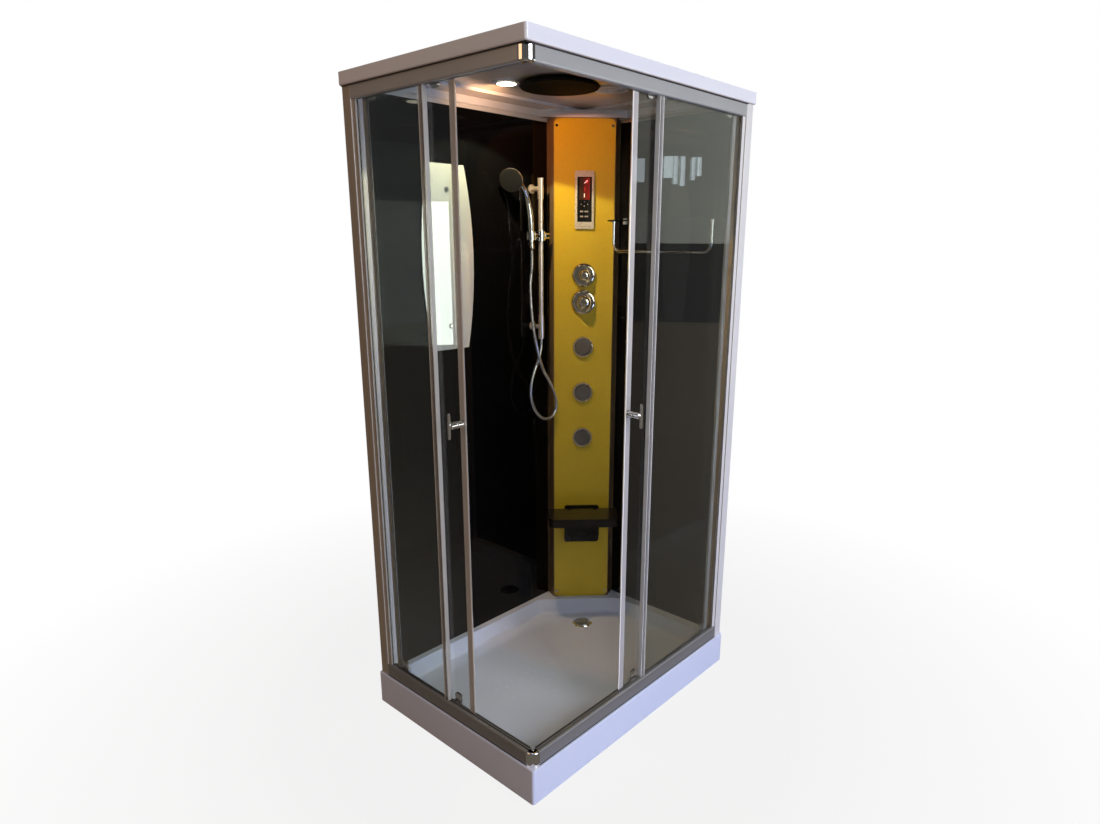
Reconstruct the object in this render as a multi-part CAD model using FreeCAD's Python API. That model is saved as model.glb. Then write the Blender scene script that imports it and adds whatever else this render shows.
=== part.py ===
import FreeCAD
import Part
import math
import os

V = FreeCAD.Vector

# Overall sizes of the cabin: X is the short side, Y the long side, Z up.
# The glazed corner is at +X, -Y and the column stands in the corner at -X, +Y.
cabin_width = 800.0
cabin_depth = 1100.0
tray_height = 120.0
roof_top = 2150.0
roof_height = 38.0
frame_below_roof_top = 29.0
overrun = 5.0
touch_gap = 0.3
slide_gap = 0.5
axle_clearance = 0.05

# Tray
tray_wall = 5.0
tray_corner_radius = 8.0
tray_edge_radius = 4.0
open_side_lip = 32.0
basin_floor = 60.0
rim_front = 62.0
rim_wall = 48.0
basin_slope = 16.0
basin_corner_radius = 45.0
basin_bottom_radius = 14.0
basin_to_column = 26.0

# Frame and feet below the tray
frame_tube = 20.0
frame_tube_wall = 1.5
frame_side_inset = 80.0
frame_end_inset = 100.0
frame_bar_count = 4
foot_radius = 20.0
foot_pad_height = 8.0
foot_stud_radius = 5.0
foot_nut_radius = 9.5
foot_nut_height = 8.0
foot_from_bar_end = 25.0

# Drain
drain_from_left = 250.0
drain_from_back = 238.0
drain_hole_radius = 35.0
drain_throat_radius = 34.5
drain_throat_bore = 29.0
drain_flange_radius = 43.0
drain_flange_height = 3.0
trap_radius = 54.0
trap_bottom = 4.0
trap_wall = 3.0
outlet_radius = 20.0
outlet_bore = 17.5
outlet_height = 27.0
outlet_from_edge = 30.0
outlet_pin_length = 40.0
cover_radius = 33.0
cover_rise = 4.0
cover_spigot_radius = 28.0
cover_spigot_depth = 12.0
cover_slot_radius = 4.0
cover_slot_circle = 19.0
cover_slot_count = 8

# Glazed sides: u is measured inward from the tray edge, s along the side from the glazed corner
rail_face = 8.0
rail_body = 19.0
rail_wall = 2.0
rail_edge_radius = 6.0
bottom_rail_height = 48.0
top_rail_height = 50.0
glass_thickness = 5.0
pane_inset = 10.0
pane_groove_gap = 0.5
pane_groove_depth = 12.0
door_gap = 3.0
rail_inner = 53.0
lip_thickness = 2.0
bottom_lip_height = 36.0
top_hook_rise = 8.0
top_hook_thickness = 3.0
top_lip_height = 7.0
channel_wheel_gap = 2.0
cap_leg = 38.0
cap_radius = 25.0
flange_start = 55.0

# Wall posts and profiles
post_step = 18.0
post_front_width = 48.0
post_side_width = 47.0
post_back_gap = 6.0
post_step_inset = 4.0
edge_profile_width = 21.0
edge_profile_u = 7.0
pane_front_edge = 413.0
pane_side_edge = 561.0
pane_in_profile = 12.0
profile_rail_gap = 2.0

# Doors
front_tip = 288.0
side_tip = 444.0
front_tail_gap = 38.0
side_tail_gap = 39.0
closed_gap = 1.0
profile_width = 26.0
profile_depth = 15.0
seal_width = 5.0
groove_depth = 8.0
tail_width = 20.0
tail_depth = 10.0
door_lift = 8.0
door_top_drop = 10.0

# Wheels and their carriers
wheel_radius = 12.0
wheel_groove_radius = 9.0
wheel_width = 10.0
wheel_edge = 2.2
axle_radius = 3.0
axle_head_radius = 4.6
axle_head = 0.8
carrier_plate = 3.0
carrier_outer_plate = 1.6
carrier_width = 30.0
carrier_reach = 38.0
carrier_past_axle = 10.0
carrier_boss_drop = 30.0
carrier_round = 8.0
carrier_boss_radius = 5.5
carrier_boss_height = 1.6
carrier_pin_radius = 3.0
carrier_boss_spacing = 16.0
lead_carrier_offset = 91.0
tail_carrier_offset = 42.0
stop_length = 12.0
stop_height = 18.0
stop_inset = 1.0

# Door handles
handle_height = 1145.0
handle_offset = 14.0
handle_reach = 52.0
handle_stem_radius = 10.0
handle_groove_radius = 8.5
handle_groove = 2.0
handle_rosette_radius = 12.0
handle_rosette = 4.0
handle_bar_radius = 4.5
handle_bar_length = 76.0
handle_stud_radius = 4.0
handle_stud_length = 4.0

# Walls
left_wall_inset = 17.0
back_wall_inset = 2.0
panel_thickness = 5.0
panel_top_drop = 4.0
panel_past_column = 14.0
trim_height = 13.0
trim_wall = 2.0

# Mirror on the left wall
mirror_y = -170.0
mirror_height = 637.0
mirror_from_top = 202.0
mirror_end_width = 156.0
mirror_mid_width = 226.0
mirror_thickness = 5.0
clip_radius = 9.0
clip_head = 4.0
clip_shank_radius = 3.0
clip_inset = 84.0

# Shelf and towel bar on the back wall
shelf_length = 475.0
shelf_from_glass = 75.0
shelf_from_top = 383.0
shelf_depth = 131.0
shelf_thickness = 6.0
shelf_corner_radius = 40.0
clamp_insets = (32.0, 340.0)
clamp_width = 26.0
clamp_depth = 30.0
clamp_jaw = 8.0
bar_from_wall = 111.0
bar_low_inset = 38.0
bar_high_inset = 7.0
bar_drop = 111.0
bar_radius = 5.0
bar_bend_radius = 34.0
bar_pad_radius = 9.0
bar_pad = 3.0

# Slide bar and hand shower
slide_bar_from_wall = 50.0
slide_bar_from_back = 293.0
slide_bar_radius = 9.0
sleeve_radius = 11.0
slide_bar_length = 607.0
slide_bar_from_top = 224.0
lower_sleeve = 86.0
upper_sleeve = 77.0
slide_arm_radius = 9.0
slide_arm_flange_radius = 17.0
slide_arm_flange = 5.0
slider_from_bar_top = 213.0
slider_radius = 17.0
slider_length = 36.0
slider_arm_radius = 10.0
holder_reach = 54.0
clamp_knob_radius = 13.0
clamp_knob_reach = 41.0
holder_length = 30.0
holder_radius = 17.0
holder_pin_radius = 6.0
holder_pin_length = 9.0
cone_small_radius = 10.0
cone_large_radius = 12.6
cone_lean = 3.0
handset_head_radius = 44.0
handset_head_depth = 22.0
handset_face_depth = 5.0
handset_face_radius = 38.0
handset_face_tilt = 22.0
handset_face_turn = 30.0
hose_nut_radius = 10.0
hose_nut_length = 22.0
bar_nut_length = 5.0
hose_radius = 6.0
handset_sway = 14.0
handset_reach = 116.0
handset_rise = 193.0
grip_radius = 12.9

# Grip from the holder to the head, in shares of the handset's sway, reach, rise and grip radius
grip_shares = (
    (0, 0.02, 0.228, 1),
    (0, 0.038, 0.342, 0.977),
    (0, 0.073, 0.477, 0.915),
    (0, 0.125, 0.611, 0.829),
    (0.071, 0.203, 0.741, 0.729),
    (0.179, 0.31, 0.855, 0.643),
    (0.321, 0.466, 0.948, 0.589),
    (0.571, 0.672, 1.01, 0.636),
)

# Back of the hand shower's head, in shares of its radius and depth
head_shares = ((0, 1), (0.4, 0.95), (0.75, 0.7), (0.95, 0.35))

# Route of the shower hose, from the lower sleeve down and up again to the hand shower
hose_points = (
    V(-328, 250, 1284.7),
    V(-328, 250, 1250),
    V(-325, 231, 1205),
    V(-323, 205, 1163),
    V(-322, 184, 1117),
    V(-322, 178, 1064),
    V(-321, 193, 1012),
    V(-319, 225, 970),
    V(-317, 260, 950),
    V(-314, 296, 955),
    V(-311, 318, 985),
    V(-308, 319, 1025),
    V(-304, 298, 1068),
    V(-300, 267, 1112),
    V(-299, 232, 1158),
    V(-300, 206, 1219),
    V(-304, 190, 1287),
    V(-310, 182, 1360),
    V(-317, 180, 1435),
    V(-323, 183, 1508),
    V(-328, 201.6, 1576),
    V(-328, 198.6, 1633.8),
)

# Column across the back corner: t runs along its width, d is its height over the corner plane
column_face_width = 236.0
column_from_corner = 196.2453
column_face_thickness = 3.0
column_depth = 50.0
column_sheet = 2.0
column_from_top = 2.0
column_flange = 18.0
column_face_radius = 20.0
column_face_drop = 2.0
column_edge = 3.0
screw_inset = 10.0
screw_rise = 26.0
screw_radius = 5.0
screw_head = 2.0
screw_shank_radius = 2.0

# Control panel
panel_height = 216.0
panel_from_top = 191.0
panel_width = 75.0
panel_proud = 9.0
panel_box_depth = 22.0
panel_border = 9.0
panel_radius = 6.0
screen_depth = 2.0
screen_proud = 0.6
panel_box_border = 12.0

# Valve, knobs and pipes
diverter_below_panel = 178.0
mixer_below_diverter = 107.0
diverter_rosette_radius = 48.0
mixer_rosette_radius = 50.5
rosette_height = 16.0
rosette_round_share = 0.8
rosette_dish = 4.0
rosette_bore = 15.0
diverter_knob_radius = 21.0
mixer_knob_radius = 28.0
knob_length = 34.0
knob_round_share = 0.7
knob_shank_radius = 8.0
knob_stem_radius = 5.0
knob_stem_length = 34.0
valve_behind_column = 62.0
valve_radius = 22.0
valve_below = 40.0
valve_above = 40.0
cartridge_radius = 17.0
cartridge_gap = 2.0
inlet_radius = 10.48
inlet_length = 20.0
inlet_spread = 50.0
inlet_body_radius = 12.0
inlet_side_gap = 1.8
pipe_radius = 8.0
pipe_bend_radius = 18.0
feed_bend_radius = 9.0
feed_behind_panel = 8.0
feed_boss = 30.0
riser_rise = 40.0
branch_radius = 6.0
feed_radius = 5.0
feed_offset = 60.0

# Jets, at shares of the way from the mixer down to the seat's bracket
jet_shares = (182 / 871, 371 / 871, 565 / 871)
jet_ring_radius = 43.0
jet_ring_bore = 33.0
jet_ring_height = 8.0
jet_face_height = 6.0
jet_spigot_radius = 15.0
jet_spigot_length = 45.0
jet_nozzle_radius = 2.0
jet_nozzle_height = 1.5
jet_nozzle_circle = 20.0
jet_nozzle_count = 8

# Seat
seat_width = 292.0
seat_depth = 148.0
seat_thickness = 36.0
seat_top = 549.0
seat_corner_radius = 24.0
bracket_width = 150.0
bracket_plate = 10.0
bracket_bottom = 388.0
bracket_top = 556.0
bracket_box_depth = 40.0
bracket_round = 12.0
seat_pin_radius = 5.0
seat_ear_width = 14.0
seat_ear_t = 55.0
seat_notch_gap = 1.0
seat_ear_round = 15.0
seat_hinge_out = 29.0

# Roof and what hangs in it
roof_wall = 5.0
roof_plate = 4.0
roof_corner_radius = 8.0
roof_edge_radius = 5.0
roof_bar = 25.0
roof_bar_inset = 24.0
roof_bar_wall = 2.0
roof_skirt = 3.0
roof_skirt_gap = 1.0
skirt_above_frame = 1.5
plateau_rise = 10.0
plateau_inset = 115.0
ceiling_box_gap = 1.0
rain_head_radius = 130.0
rain_head_height = 12.0
rain_head_drop = 10.0
rain_neck_radius = 12.0
rain_nut_radius = 20.0
rain_nut_height = 10.0
light_x = -140.0
light_y = -100.0
light_radius = 38.0
light_ring = 8.0
light_depth = 30.0
light_lens_drop = 3.0
light_wall = 2.0
fan_x = 42.0
fan_y = 208.0
fan_hole_radius = 48.0
fan_flange_radius = 60.0
fan_flange = 4.0
fan_box = 116.0
fan_box_height = 46.0
fan_wall = 3.0
fan_wheel_radius = 42.0
fan_hub_radius = 14.0
fan_shaft_radius = 2.5
fan_blade_count = 7
fan_blade_height = 22.0
fan_blade_thickness = 2.0
fan_blade_pitch = 40.0
fan_grille_rings = 4
fan_grille_bar = 3.0
fan_motor_radius = 16.0
fan_motor_height = 12.0
fan_outlet_width = 80.0
fan_outlet_height = 30.0
fan_wheel_rise = 6.0
box_x = 180.0
box_y = -230.0
box_width = 120.0
box_length = 170.0
box_height = 42.0
box_radius = 6.0
gland_radius = 9.0
gland_length = 18.0
gland_bore = 4.0

# Bend of a hose's corner, as a share of its shorter run
hose_bend_share = 0.45

# Places worked out from the sizes above
half_width = cabin_width / 2
half_depth = cabin_depth / 2
frame_top = roof_top - frame_below_roof_top
roof_bottom = roof_top - roof_height
roof_skirt_bottom = frame_top + skirt_above_frame
mirror_top = frame_top - mirror_from_top
mirror_bottom = mirror_top - mirror_height
shelf_height = frame_top - shelf_from_top
slide_bar_top = frame_top - slide_bar_from_top
slide_bar_bottom = slide_bar_top - slide_bar_length
slider_height = slide_bar_top - slider_from_bar_top
column_top = frame_top - column_from_top
panel_top = column_top - panel_from_top
panel_bottom = panel_top - panel_height
diverter_height = panel_bottom - diverter_below_panel
mixer_height = diverter_height - mixer_below_diverter
jet_heights = [mixer_height - share * (mixer_height - bracket_top) for share in jet_shares]
left_wall_x = left_wall_inset + panel_thickness - half_width
back_wall_y = half_depth - back_wall_inset - panel_thickness
rail_back = rail_face + rail_body
pane_u = rail_face + pane_inset
door_u = rail_back + door_gap
door_back_u = door_u + glass_thickness
bottom_rail_top = tray_height + bottom_rail_height
top_rail_bottom = frame_top - top_rail_height
wheel_u = rail_inner - lip_thickness - channel_wheel_gap - wheel_width / 2
lip_u = wheel_u - lip_thickness / 2
bottom_axle_z = tray_height + bottom_lip_height + touch_gap + wheel_groove_radius
top_lip_base = top_rail_bottom + top_hook_rise + top_hook_thickness
top_axle_z = top_lip_base + top_lip_height + touch_gap + wheel_groove_radius
profile_u = door_u - (profile_depth - glass_thickness) / 2
closed_tip = profile_u + closed_gap
column_t = (left_wall_x + back_wall_y) * math.sqrt(2) / 2
column_face_d = (left_wall_x - back_wall_y) / math.sqrt(2) + column_from_corner
column_shell_d = column_face_d - column_face_thickness
column_wall_d = column_shell_d - column_depth
valve_d = column_shell_d - valve_behind_column
seat_hinge_d = column_face_d + seat_hinge_out
drain_x = drain_from_left - half_width
drain_y = half_depth - drain_from_back
slide_bar_x = left_wall_x + slide_bar_from_wall
slide_bar_y = back_wall_y - slide_bar_from_back
shelf_front = back_wall_y - shelf_depth
shelf_x_high = half_width - shelf_from_glass
shelf_x_low = shelf_x_high - shelf_length
clamp_places = [shelf_x_low + inset for inset in clamp_insets]
bar_y = back_wall_y - bar_from_wall
bar_x_low = shelf_x_low + bar_low_inset
bar_x_high = shelf_x_high - bar_high_inset
riser_height = roof_top + riser_rise
frame_bar_length = cabin_width - 2 * frame_side_inset
frame_bar_spacing = (cabin_depth - 2 * frame_end_inset) / (frame_bar_count - 1)
roof_under = roof_top - roof_plate
ceiling = roof_under + plateau_rise
tip = {"front": front_tip, "side": side_tip}
pane_edge = {"front": pane_front_edge, "side": pane_side_edge}
side_length = {"front": cabin_width, "side": cabin_depth}
post_width = {"front": post_front_width, "side": post_side_width}
post_start = {side: side_length[side] - post_width[side] for side in side_length}
tail_gap = {"front": front_tail_gap, "side": side_tail_gap}
door_width = {side: post_start[side] - tail_gap[side] - tip[side] for side in tip}
travel = {side: tip[side] - closed_tip for side in tip}

UP = V(0, 0, 1)
column_out = V(1, -1, 0).normalize()
column_along = V(1, 1, 0).normalize()


# Small helpers
def block(x0, x1, y0, y1, z0, z1):
    return Part.makeBox(x1 - x0, y1 - y0, z1 - z0, V(x0, y0, z0))


def prism(points, direction):
    return Part.Face(Part.makePolygon(list(points) + [points[0]])).extrude(direction)


def rod(start, end, radius):
    return Part.makeCylinder(radius, (end - start).Length, start, end - start)


def turned(profile, base, axis):
    # profile is a closed outline of (radius, height) points, turned about the axis through base
    outline = Part.makePolygon([V(r, 0, h) for r, h in profile + profile[:1]])
    solid = Part.Face(outline).revolve(V(0, 0, 0), UP, 360)
    solid.Placement = FreeCAD.Placement(base, FreeCAD.Rotation(UP, axis))
    return solid


def fused(shapes):
    return shapes[0].multiFuse(shapes[1:]).removeSplitter()


def is_vertical(edge):
    start, end = edge.Vertexes[0].Point, edge.Vertexes[-1].Point
    return math.hypot(start.x - end.x, start.y - end.y) < touch_gap < abs(end.z - start.z)


def is_at_height(edge, z):
    box = edge.BoundBox
    return abs(box.ZMin - z) < touch_gap / 2 and abs(box.ZMax - z) < touch_gap / 2


def rounded(shape, radius, wanted):
    edges = [edge for edge in shape.Edges if wanted(edge)]
    return shape.makeFillet(radius, edges)


def rounded_box(x0, x1, y0, y1, z0, z1, radius):
    return rounded(block(x0, x1, y0, y1, z0, z1), radius, is_vertical)


def bent_path(points, radius_at):
    # straight runs joined by tangent arcs
    edges = []
    start = points[0]
    for before, corner, after in zip(points, points[1:], points[2:]):
        back = (before - corner).normalize()
        ahead = (after - corner).normalize()
        half_turn = (math.pi - back.getAngle(ahead)) / 2
        radius = radius_at(before, corner, after, half_turn)
        trim = radius * math.tan(half_turn)
        middle = (back + ahead).normalize() * (radius / math.cos(half_turn) - radius)
        arc_start, arc_end = corner + back * trim, corner + ahead * trim
        edges.append(Part.LineSegment(start, arc_start).toShape())
        edges.append(Part.Arc(arc_start, corner + middle, arc_end).toShape())
        start = arc_end
    edges.append(Part.LineSegment(start, points[-1]).toShape())
    return Part.Wire(edges)


def swept(path, radius):
    start = path.Edges[0].Vertexes[0].Point
    ahead = path.Edges[0].Vertexes[-1].Point - start
    ring = Part.Wire([Part.makeCircle(radius, start, ahead)])
    return path.makePipeShell([ring], True, False)


def pipe(points, radius, bend):
    return swept(bent_path(points, lambda before, corner, after, half: bend), radius)


def spot(side, s, u, z):
    if side == "front":
        return V(half_width - s, u - half_depth, z)
    return V(half_width - u, s - half_depth, z)


def side_block(side, s0, s1, u0, u1, z0, z1):
    a, b = spot(side, s0, u0, z0), spot(side, s1, u1, z1)
    return block(min(a.x, b.x), max(a.x, b.x), min(a.y, b.y), max(a.y, b.y), z0, z1)


def side_plan(side, outline, z0, z1):
    return prism([spot(side, s, u, z0) for s, u in outline], UP * (z1 - z0))


def column_spot(t, d, z):
    return column_out * d + column_along * (column_t + t) + UP * z


def column_block(t0, t1, d0, d1, z0, z1):
    corners = [column_spot(t, d, z0) for t, d in ((t0, d0), (t1, d0), (t1, d1), (t0, d1))]
    return prism(corners, UP * (z1 - z0))


def save(name, solids):
    shape = Part.makeCompound(solids)
    count = len(shape.Solids)
    print(name, count, "solids, valid", shape.isValid(), "volume", round(shape.Volume / 1000), "cm3")
    shape.exportStep("parts/" + name + ".step")


# Tray and what carries it
def basin_outline(shrink, z):
    # rounded five-sided outline with its cut corner parallel to the column
    x0 = rim_wall - half_width + shrink
    x1 = half_width - rim_front - shrink
    y0 = rim_front - half_depth + shrink
    y1 = half_depth - rim_wall - shrink
    cut = (column_face_d + basin_to_column + shrink) * math.sqrt(2)
    corners = [V(x0, y0, z), V(x1, y0, z), V(x1, y1, z), V(cut + y1, y1, z), V(x0, x0 - cut, z)]
    count = len(corners)
    edges = []
    starts = []
    ends = []
    arcs = []
    for i in range(count):
        before, corner, after = corners[i - 1], corners[i], corners[(i + 1) % count]
        back, ahead = (before - corner).normalize(), (after - corner).normalize()
        half_turn = (math.pi - back.getAngle(ahead)) / 2
        trim = basin_corner_radius * math.tan(half_turn)
        middle = (back + ahead).normalize() * (basin_corner_radius / math.cos(half_turn) - basin_corner_radius)
        starts.append(corner + back * trim)
        ends.append(corner + ahead * trim)
        arcs.append(Part.Arc(starts[i], corner + middle, ends[i]).toShape())
    for i in range(count):
        edges.append(arcs[i])
        edges.append(Part.LineSegment(ends[i], starts[(i + 1) % count]).toShape())
    return Part.Wire(edges)


def basin_body(shrink, floor, top):
    slope = basin_slope * (top - floor) / (tray_height - basin_floor)
    body = Part.makeLoft([basin_outline(shrink + slope, floor), basin_outline(shrink, top)], True, True)
    return rounded(body, basin_bottom_radius, lambda edge: is_at_height(edge, floor))


def make_tray():
    outer = rounded_box(-half_width, half_width, -half_depth, half_depth, 0, tray_height, tray_corner_radius)
    outer = rounded(outer, tray_edge_radius, lambda edge: is_at_height(edge, tray_height))
    under = block(tray_wall - half_width, half_width - tray_wall, tray_wall - half_depth,
                  half_depth - tray_wall, -overrun, tray_height - tray_wall)
    shell = outer.cut(under)
    lip_bottom = tray_height - open_side_lip
    left_cut = block(-half_width - overrun, tray_wall - half_width, tray_wall - half_depth,
                     half_depth + overrun, -overrun, lip_bottom)
    back_cut = block(-half_width - overrun, half_width - tray_wall, half_depth - tray_wall,
                     half_depth + overrun, -overrun, lip_bottom)
    shell = shell.cut(left_cut).cut(back_cut)
    bowl = basin_body(-tray_wall, basin_floor - tray_wall, tray_height - tray_wall)
    hollow = basin_body(0, basin_floor, tray_height)
    mouth = Part.Face(basin_outline(0, tray_height)).extrude(UP * overrun)
    drain = rod(V(drain_x, drain_y, basin_floor - tray_wall - overrun), V(drain_x, drain_y, tray_height),
                drain_hole_radius)
    return fused([shell, bowl]).cut(fused([hollow, mouth])).cut(drain)


def make_tray_frame():
    top = basin_floor - tray_wall
    bottom = top - frame_tube
    reach = frame_bar_length / 2
    half = frame_tube / 2
    inner = half - frame_tube_wall
    places = [(i - (frame_bar_count - 1) / 2) * frame_bar_spacing for i in range(frame_bar_count)]
    tubes = []
    for y in places:
        bar = block(-reach, reach, y - half, y + half, bottom, top)
        bore = block(-reach - overrun, reach + overrun, y - inner, y + inner,
                     bottom + frame_tube_wall, top - frame_tube_wall)
        tubes.append(bar.cut(bore))
    for y0, y1 in zip(places, places[1:]):
        bar = block(-half, half, y0 + half, y1 - half, bottom, top)
        bore = block(-inner, inner, y0, y1, bottom + frame_tube_wall, top - frame_tube_wall)
        tubes.append(bar.cut(bore))
    feet = [V(0, 0, 0)]
    for y in places:
        for x in (foot_from_bar_end - reach, reach - foot_from_bar_end):
            feet.append(V(x, y, 0))
    return tubes, [make_foot(place, bottom) for place in feet]


def make_foot(place, top):
    profile = [(0, 0), (foot_radius, 0), (foot_radius, foot_pad_height / 2), (foot_stud_radius, foot_pad_height),
               (foot_stud_radius, top - foot_nut_height), (0, top - foot_nut_height)]
    stem = turned(profile, place, UP)
    corners = [V(foot_nut_radius * math.cos(math.radians(a)), foot_nut_radius * math.sin(math.radians(a)), 0)
               for a in range(0, 360, 60)]
    nut = prism([place + corner + UP * (top - foot_nut_height) for corner in corners], UP * foot_nut_height)
    return fused([stem, nut])


def make_drain():
    axis = V(drain_x, drain_y, 0)
    under = basin_floor - tray_wall
    flange_top = basin_floor + drain_flange_height
    profile = [(0, trap_bottom), (trap_radius, trap_bottom), (trap_radius, under), (drain_throat_radius, under),
               (drain_throat_radius, basin_floor), (drain_flange_radius, basin_floor),
               (drain_flange_radius - drain_flange_height / 2, flange_top), (drain_throat_bore, flange_top),
               (drain_throat_bore, under - trap_wall), (trap_radius - trap_wall, under - trap_wall),
               (trap_radius - trap_wall, trap_bottom + trap_wall), (0, trap_bottom + trap_wall)]
    body = turned(profile, axis, UP)
    start = V(drain_x - trap_radius + trap_wall * 2, drain_y, outlet_height)
    end = V(outlet_from_edge - half_width, drain_y, outlet_height)
    neck = end + V(outlet_pin_length, 0, 0)
    pipe_out = fused([rod(start, end, outlet_radius), rod(start, neck, outlet_radius + trap_wall)])
    bore = rod(start + V(trap_wall * 2, 0, 0), end - V(overrun, 0, 0), outlet_bore)
    inside = rod(axis + UP * (trap_bottom + trap_wall), axis + UP * (under - trap_wall), trap_radius - trap_wall)
    trap = fused([body, pipe_out.cut(inside)]).cut(bore.cut(inside))
    cover_profile = [(0, -cover_spigot_depth), (cover_spigot_radius, -cover_spigot_depth), (cover_spigot_radius, 0),
                     (cover_radius, 0), (cover_radius, cover_rise / 2), (cover_spigot_radius, cover_rise),
                     (0, cover_rise)]
    cover = turned(cover_profile, axis + UP * flange_top, UP)
    for i in range(cover_slot_count):
        angle = 2 * math.pi * i / cover_slot_count
        place = axis + V(math.cos(angle), math.sin(angle), 0) * cover_slot_circle
        cover = cover.cut(rod(place + UP * (flange_top - cover_spigot_depth - overrun),
                              place + UP * (flange_top + cover_rise + overrun), cover_slot_radius))
    return trap, cover


# Rails, corner caps and posts
def u_of(side, point):
    return point.y + half_depth if side == "front" else half_width - point.x


def on_face(side, edge, u):
    return all(abs(u_of(side, vertex.Point) - u) < touch_gap / 2 for vertex in edge.Vertexes)


def make_bottom_rail(side):
    s0, s1 = cap_leg, post_start[side]
    body = side_block(side, s0, s1, rail_face, rail_back, tray_height, bottom_rail_top)
    body = rounded(body, rail_edge_radius,
                   lambda edge: is_at_height(edge, bottom_rail_top) and on_face(side, edge, rail_face))
    groove = side_block(side, s0 - overrun, s1 + overrun, pane_u, pane_u + glass_thickness + pane_groove_gap,
                        bottom_rail_top - pane_groove_depth, bottom_rail_top + overrun)
    hollow = side_block(side, s0 - overrun, s1 + overrun, rail_face + rail_wall, rail_back - rail_wall,
                        tray_height + rail_wall, bottom_rail_top - pane_groove_depth - rail_wall)
    base = side_block(side, flange_start, s1, rail_back, rail_inner, tray_height, tray_height + rail_wall)
    lip = side_block(side, flange_start, s1, lip_u, lip_u + lip_thickness, tray_height,
                     tray_height + bottom_lip_height)
    edge = side_block(side, flange_start, s1, rail_inner - lip_thickness, rail_inner, tray_height,
                      tray_height + rail_wall * 4)
    return fused([body.cut(groove).cut(hollow), base, lip, edge])


def make_top_rail(side):
    s0, s1 = cap_leg, post_start[side]
    body = side_block(side, s0, s1, rail_face, rail_back, top_rail_bottom, frame_top)
    body = rounded(body, rail_edge_radius,
                   lambda edge: is_at_height(edge, top_rail_bottom) and on_face(side, edge, rail_face))
    groove = side_block(side, s0 - overrun, s1 + overrun, pane_u, pane_u + glass_thickness + pane_groove_gap,
                        top_rail_bottom - overrun, top_rail_bottom + pane_groove_depth)
    hollow = side_block(side, s0 - overrun, s1 + overrun, rail_face + rail_wall, rail_back - rail_wall,
                        top_rail_bottom + pane_groove_depth + rail_wall, frame_top - rail_wall)
    plate = side_block(side, flange_start, s1, rail_back, rail_inner, frame_top - rail_wall, frame_top)
    wall = side_block(side, flange_start, s1, rail_inner - lip_thickness, rail_inner,
                      top_rail_bottom + top_hook_rise, frame_top)
    hook = side_block(side, flange_start, s1, wheel_u - wheel_width / 2 + rail_wall / 2, rail_inner,
                      top_rail_bottom + top_hook_rise, top_lip_base)
    lip = side_block(side, flange_start, s1, lip_u, lip_u + lip_thickness, top_lip_base,
                     top_lip_base + top_lip_height)
    return fused([body.cut(groove).cut(hollow), plate, wall, hook, lip])


def make_corner_cap(bottom, top, soft_height):
    legs = fused([side_block("front", rail_face, cap_leg, rail_face, rail_back, bottom, top),
                  side_block("front", rail_face, rail_back, rail_face, cap_leg, bottom, top)])
    legs = rounded(legs, cap_radius, lambda edge: is_vertical(edge) and on_face("front", edge, rail_face)
                   and on_face("side", edge, rail_face))

    def is_outer(edge):
        return is_at_height(edge, soft_height) and all(
            min(u_of("front", vertex.Point), u_of("side", vertex.Point)) < rail_face + touch_gap
            for vertex in edge.Vertexes)
    return rounded(legs, rail_edge_radius, is_outer)


def make_post(side):
    s0, s1 = post_start[side], side_length[side] - post_back_gap
    main = side_block(side, s0, s1, rail_face, rail_inner, tray_height, frame_top)
    main = rounded(main, rail_wall, lambda edge: is_vertical(edge) and on_face(side, edge, rail_face))
    bore = side_block(side, s0 + rail_wall, s1 - rail_wall, rail_face + rail_wall, rail_inner - rail_wall,
                      tray_height - overrun, frame_top + overrun)
    step = side_block(side, s0 - post_step, s0, rail_face + post_step_inset, rail_back,
                      bottom_rail_top, top_rail_bottom)
    groove = side_block(side, s0 - post_step - overrun, s0 - post_step + pane_groove_depth, pane_u,
                        pane_u + glass_thickness + pane_groove_gap, bottom_rail_top - overrun,
                        top_rail_bottom + overrun)
    return fused([main.cut(bore), step.cut(groove)])


def make_fixed_pane(side):
    u0 = pane_u + pane_groove_gap / 2
    return side_block(side, pane_edge[side] + pane_in_profile,
                      post_start[side] - post_step + pane_groove_depth - pane_groove_gap, u0, u0 + glass_thickness,
                      bottom_rail_top - pane_groove_depth + pane_groove_gap,
                      top_rail_bottom + pane_groove_depth - pane_groove_gap)


def make_edge_profile(side):
    s0 = pane_edge[side]
    body = side_block(side, s0, s0 + edge_profile_width, rail_face + edge_profile_u, rail_back,
                      bottom_rail_top, top_rail_bottom)
    slot = side_block(side, s0 + pane_in_profile, s0 + edge_profile_width + overrun, pane_u,
                      pane_u + glass_thickness + pane_groove_gap, bottom_rail_top - overrun,
                      top_rail_bottom + overrun)
    fin = side_block(side, s0, s0 + lip_thickness, rail_back, door_u - touch_gap,
                     bottom_axle_z + carrier_reach + slide_gap, top_axle_z - carrier_reach - slide_gap)
    return fused([body.cut(slot), fin])


# Sliding doors
def make_door_glass(side):
    s0 = tip[side] + profile_width - groove_depth
    s1 = tip[side] + door_width[side] - tail_width + groove_depth
    pane = side_block(side, s0, s1, door_u, door_back_u, tray_height + door_lift, frame_top - door_top_drop)
    for s, axle_z, way in carrier_places(side):
        for pin in carrier_pins(s, axle_z, way):
            pane = pane.cut(rod(spot(side, pin[0], door_u - overrun, pin[1]),
                                spot(side, pin[0], door_back_u + overrun, pin[1]),
                                carrier_pin_radius + touch_gap))
    return pane


def carrier_places(side):
    lead = tip[side] + lead_carrier_offset
    tail = tip[side] + door_width[side] - tail_carrier_offset
    return [(lead, top_axle_z, -1), (lead, bottom_axle_z, 1), (tail, top_axle_z, -1), (tail, bottom_axle_z, 1)]


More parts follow.
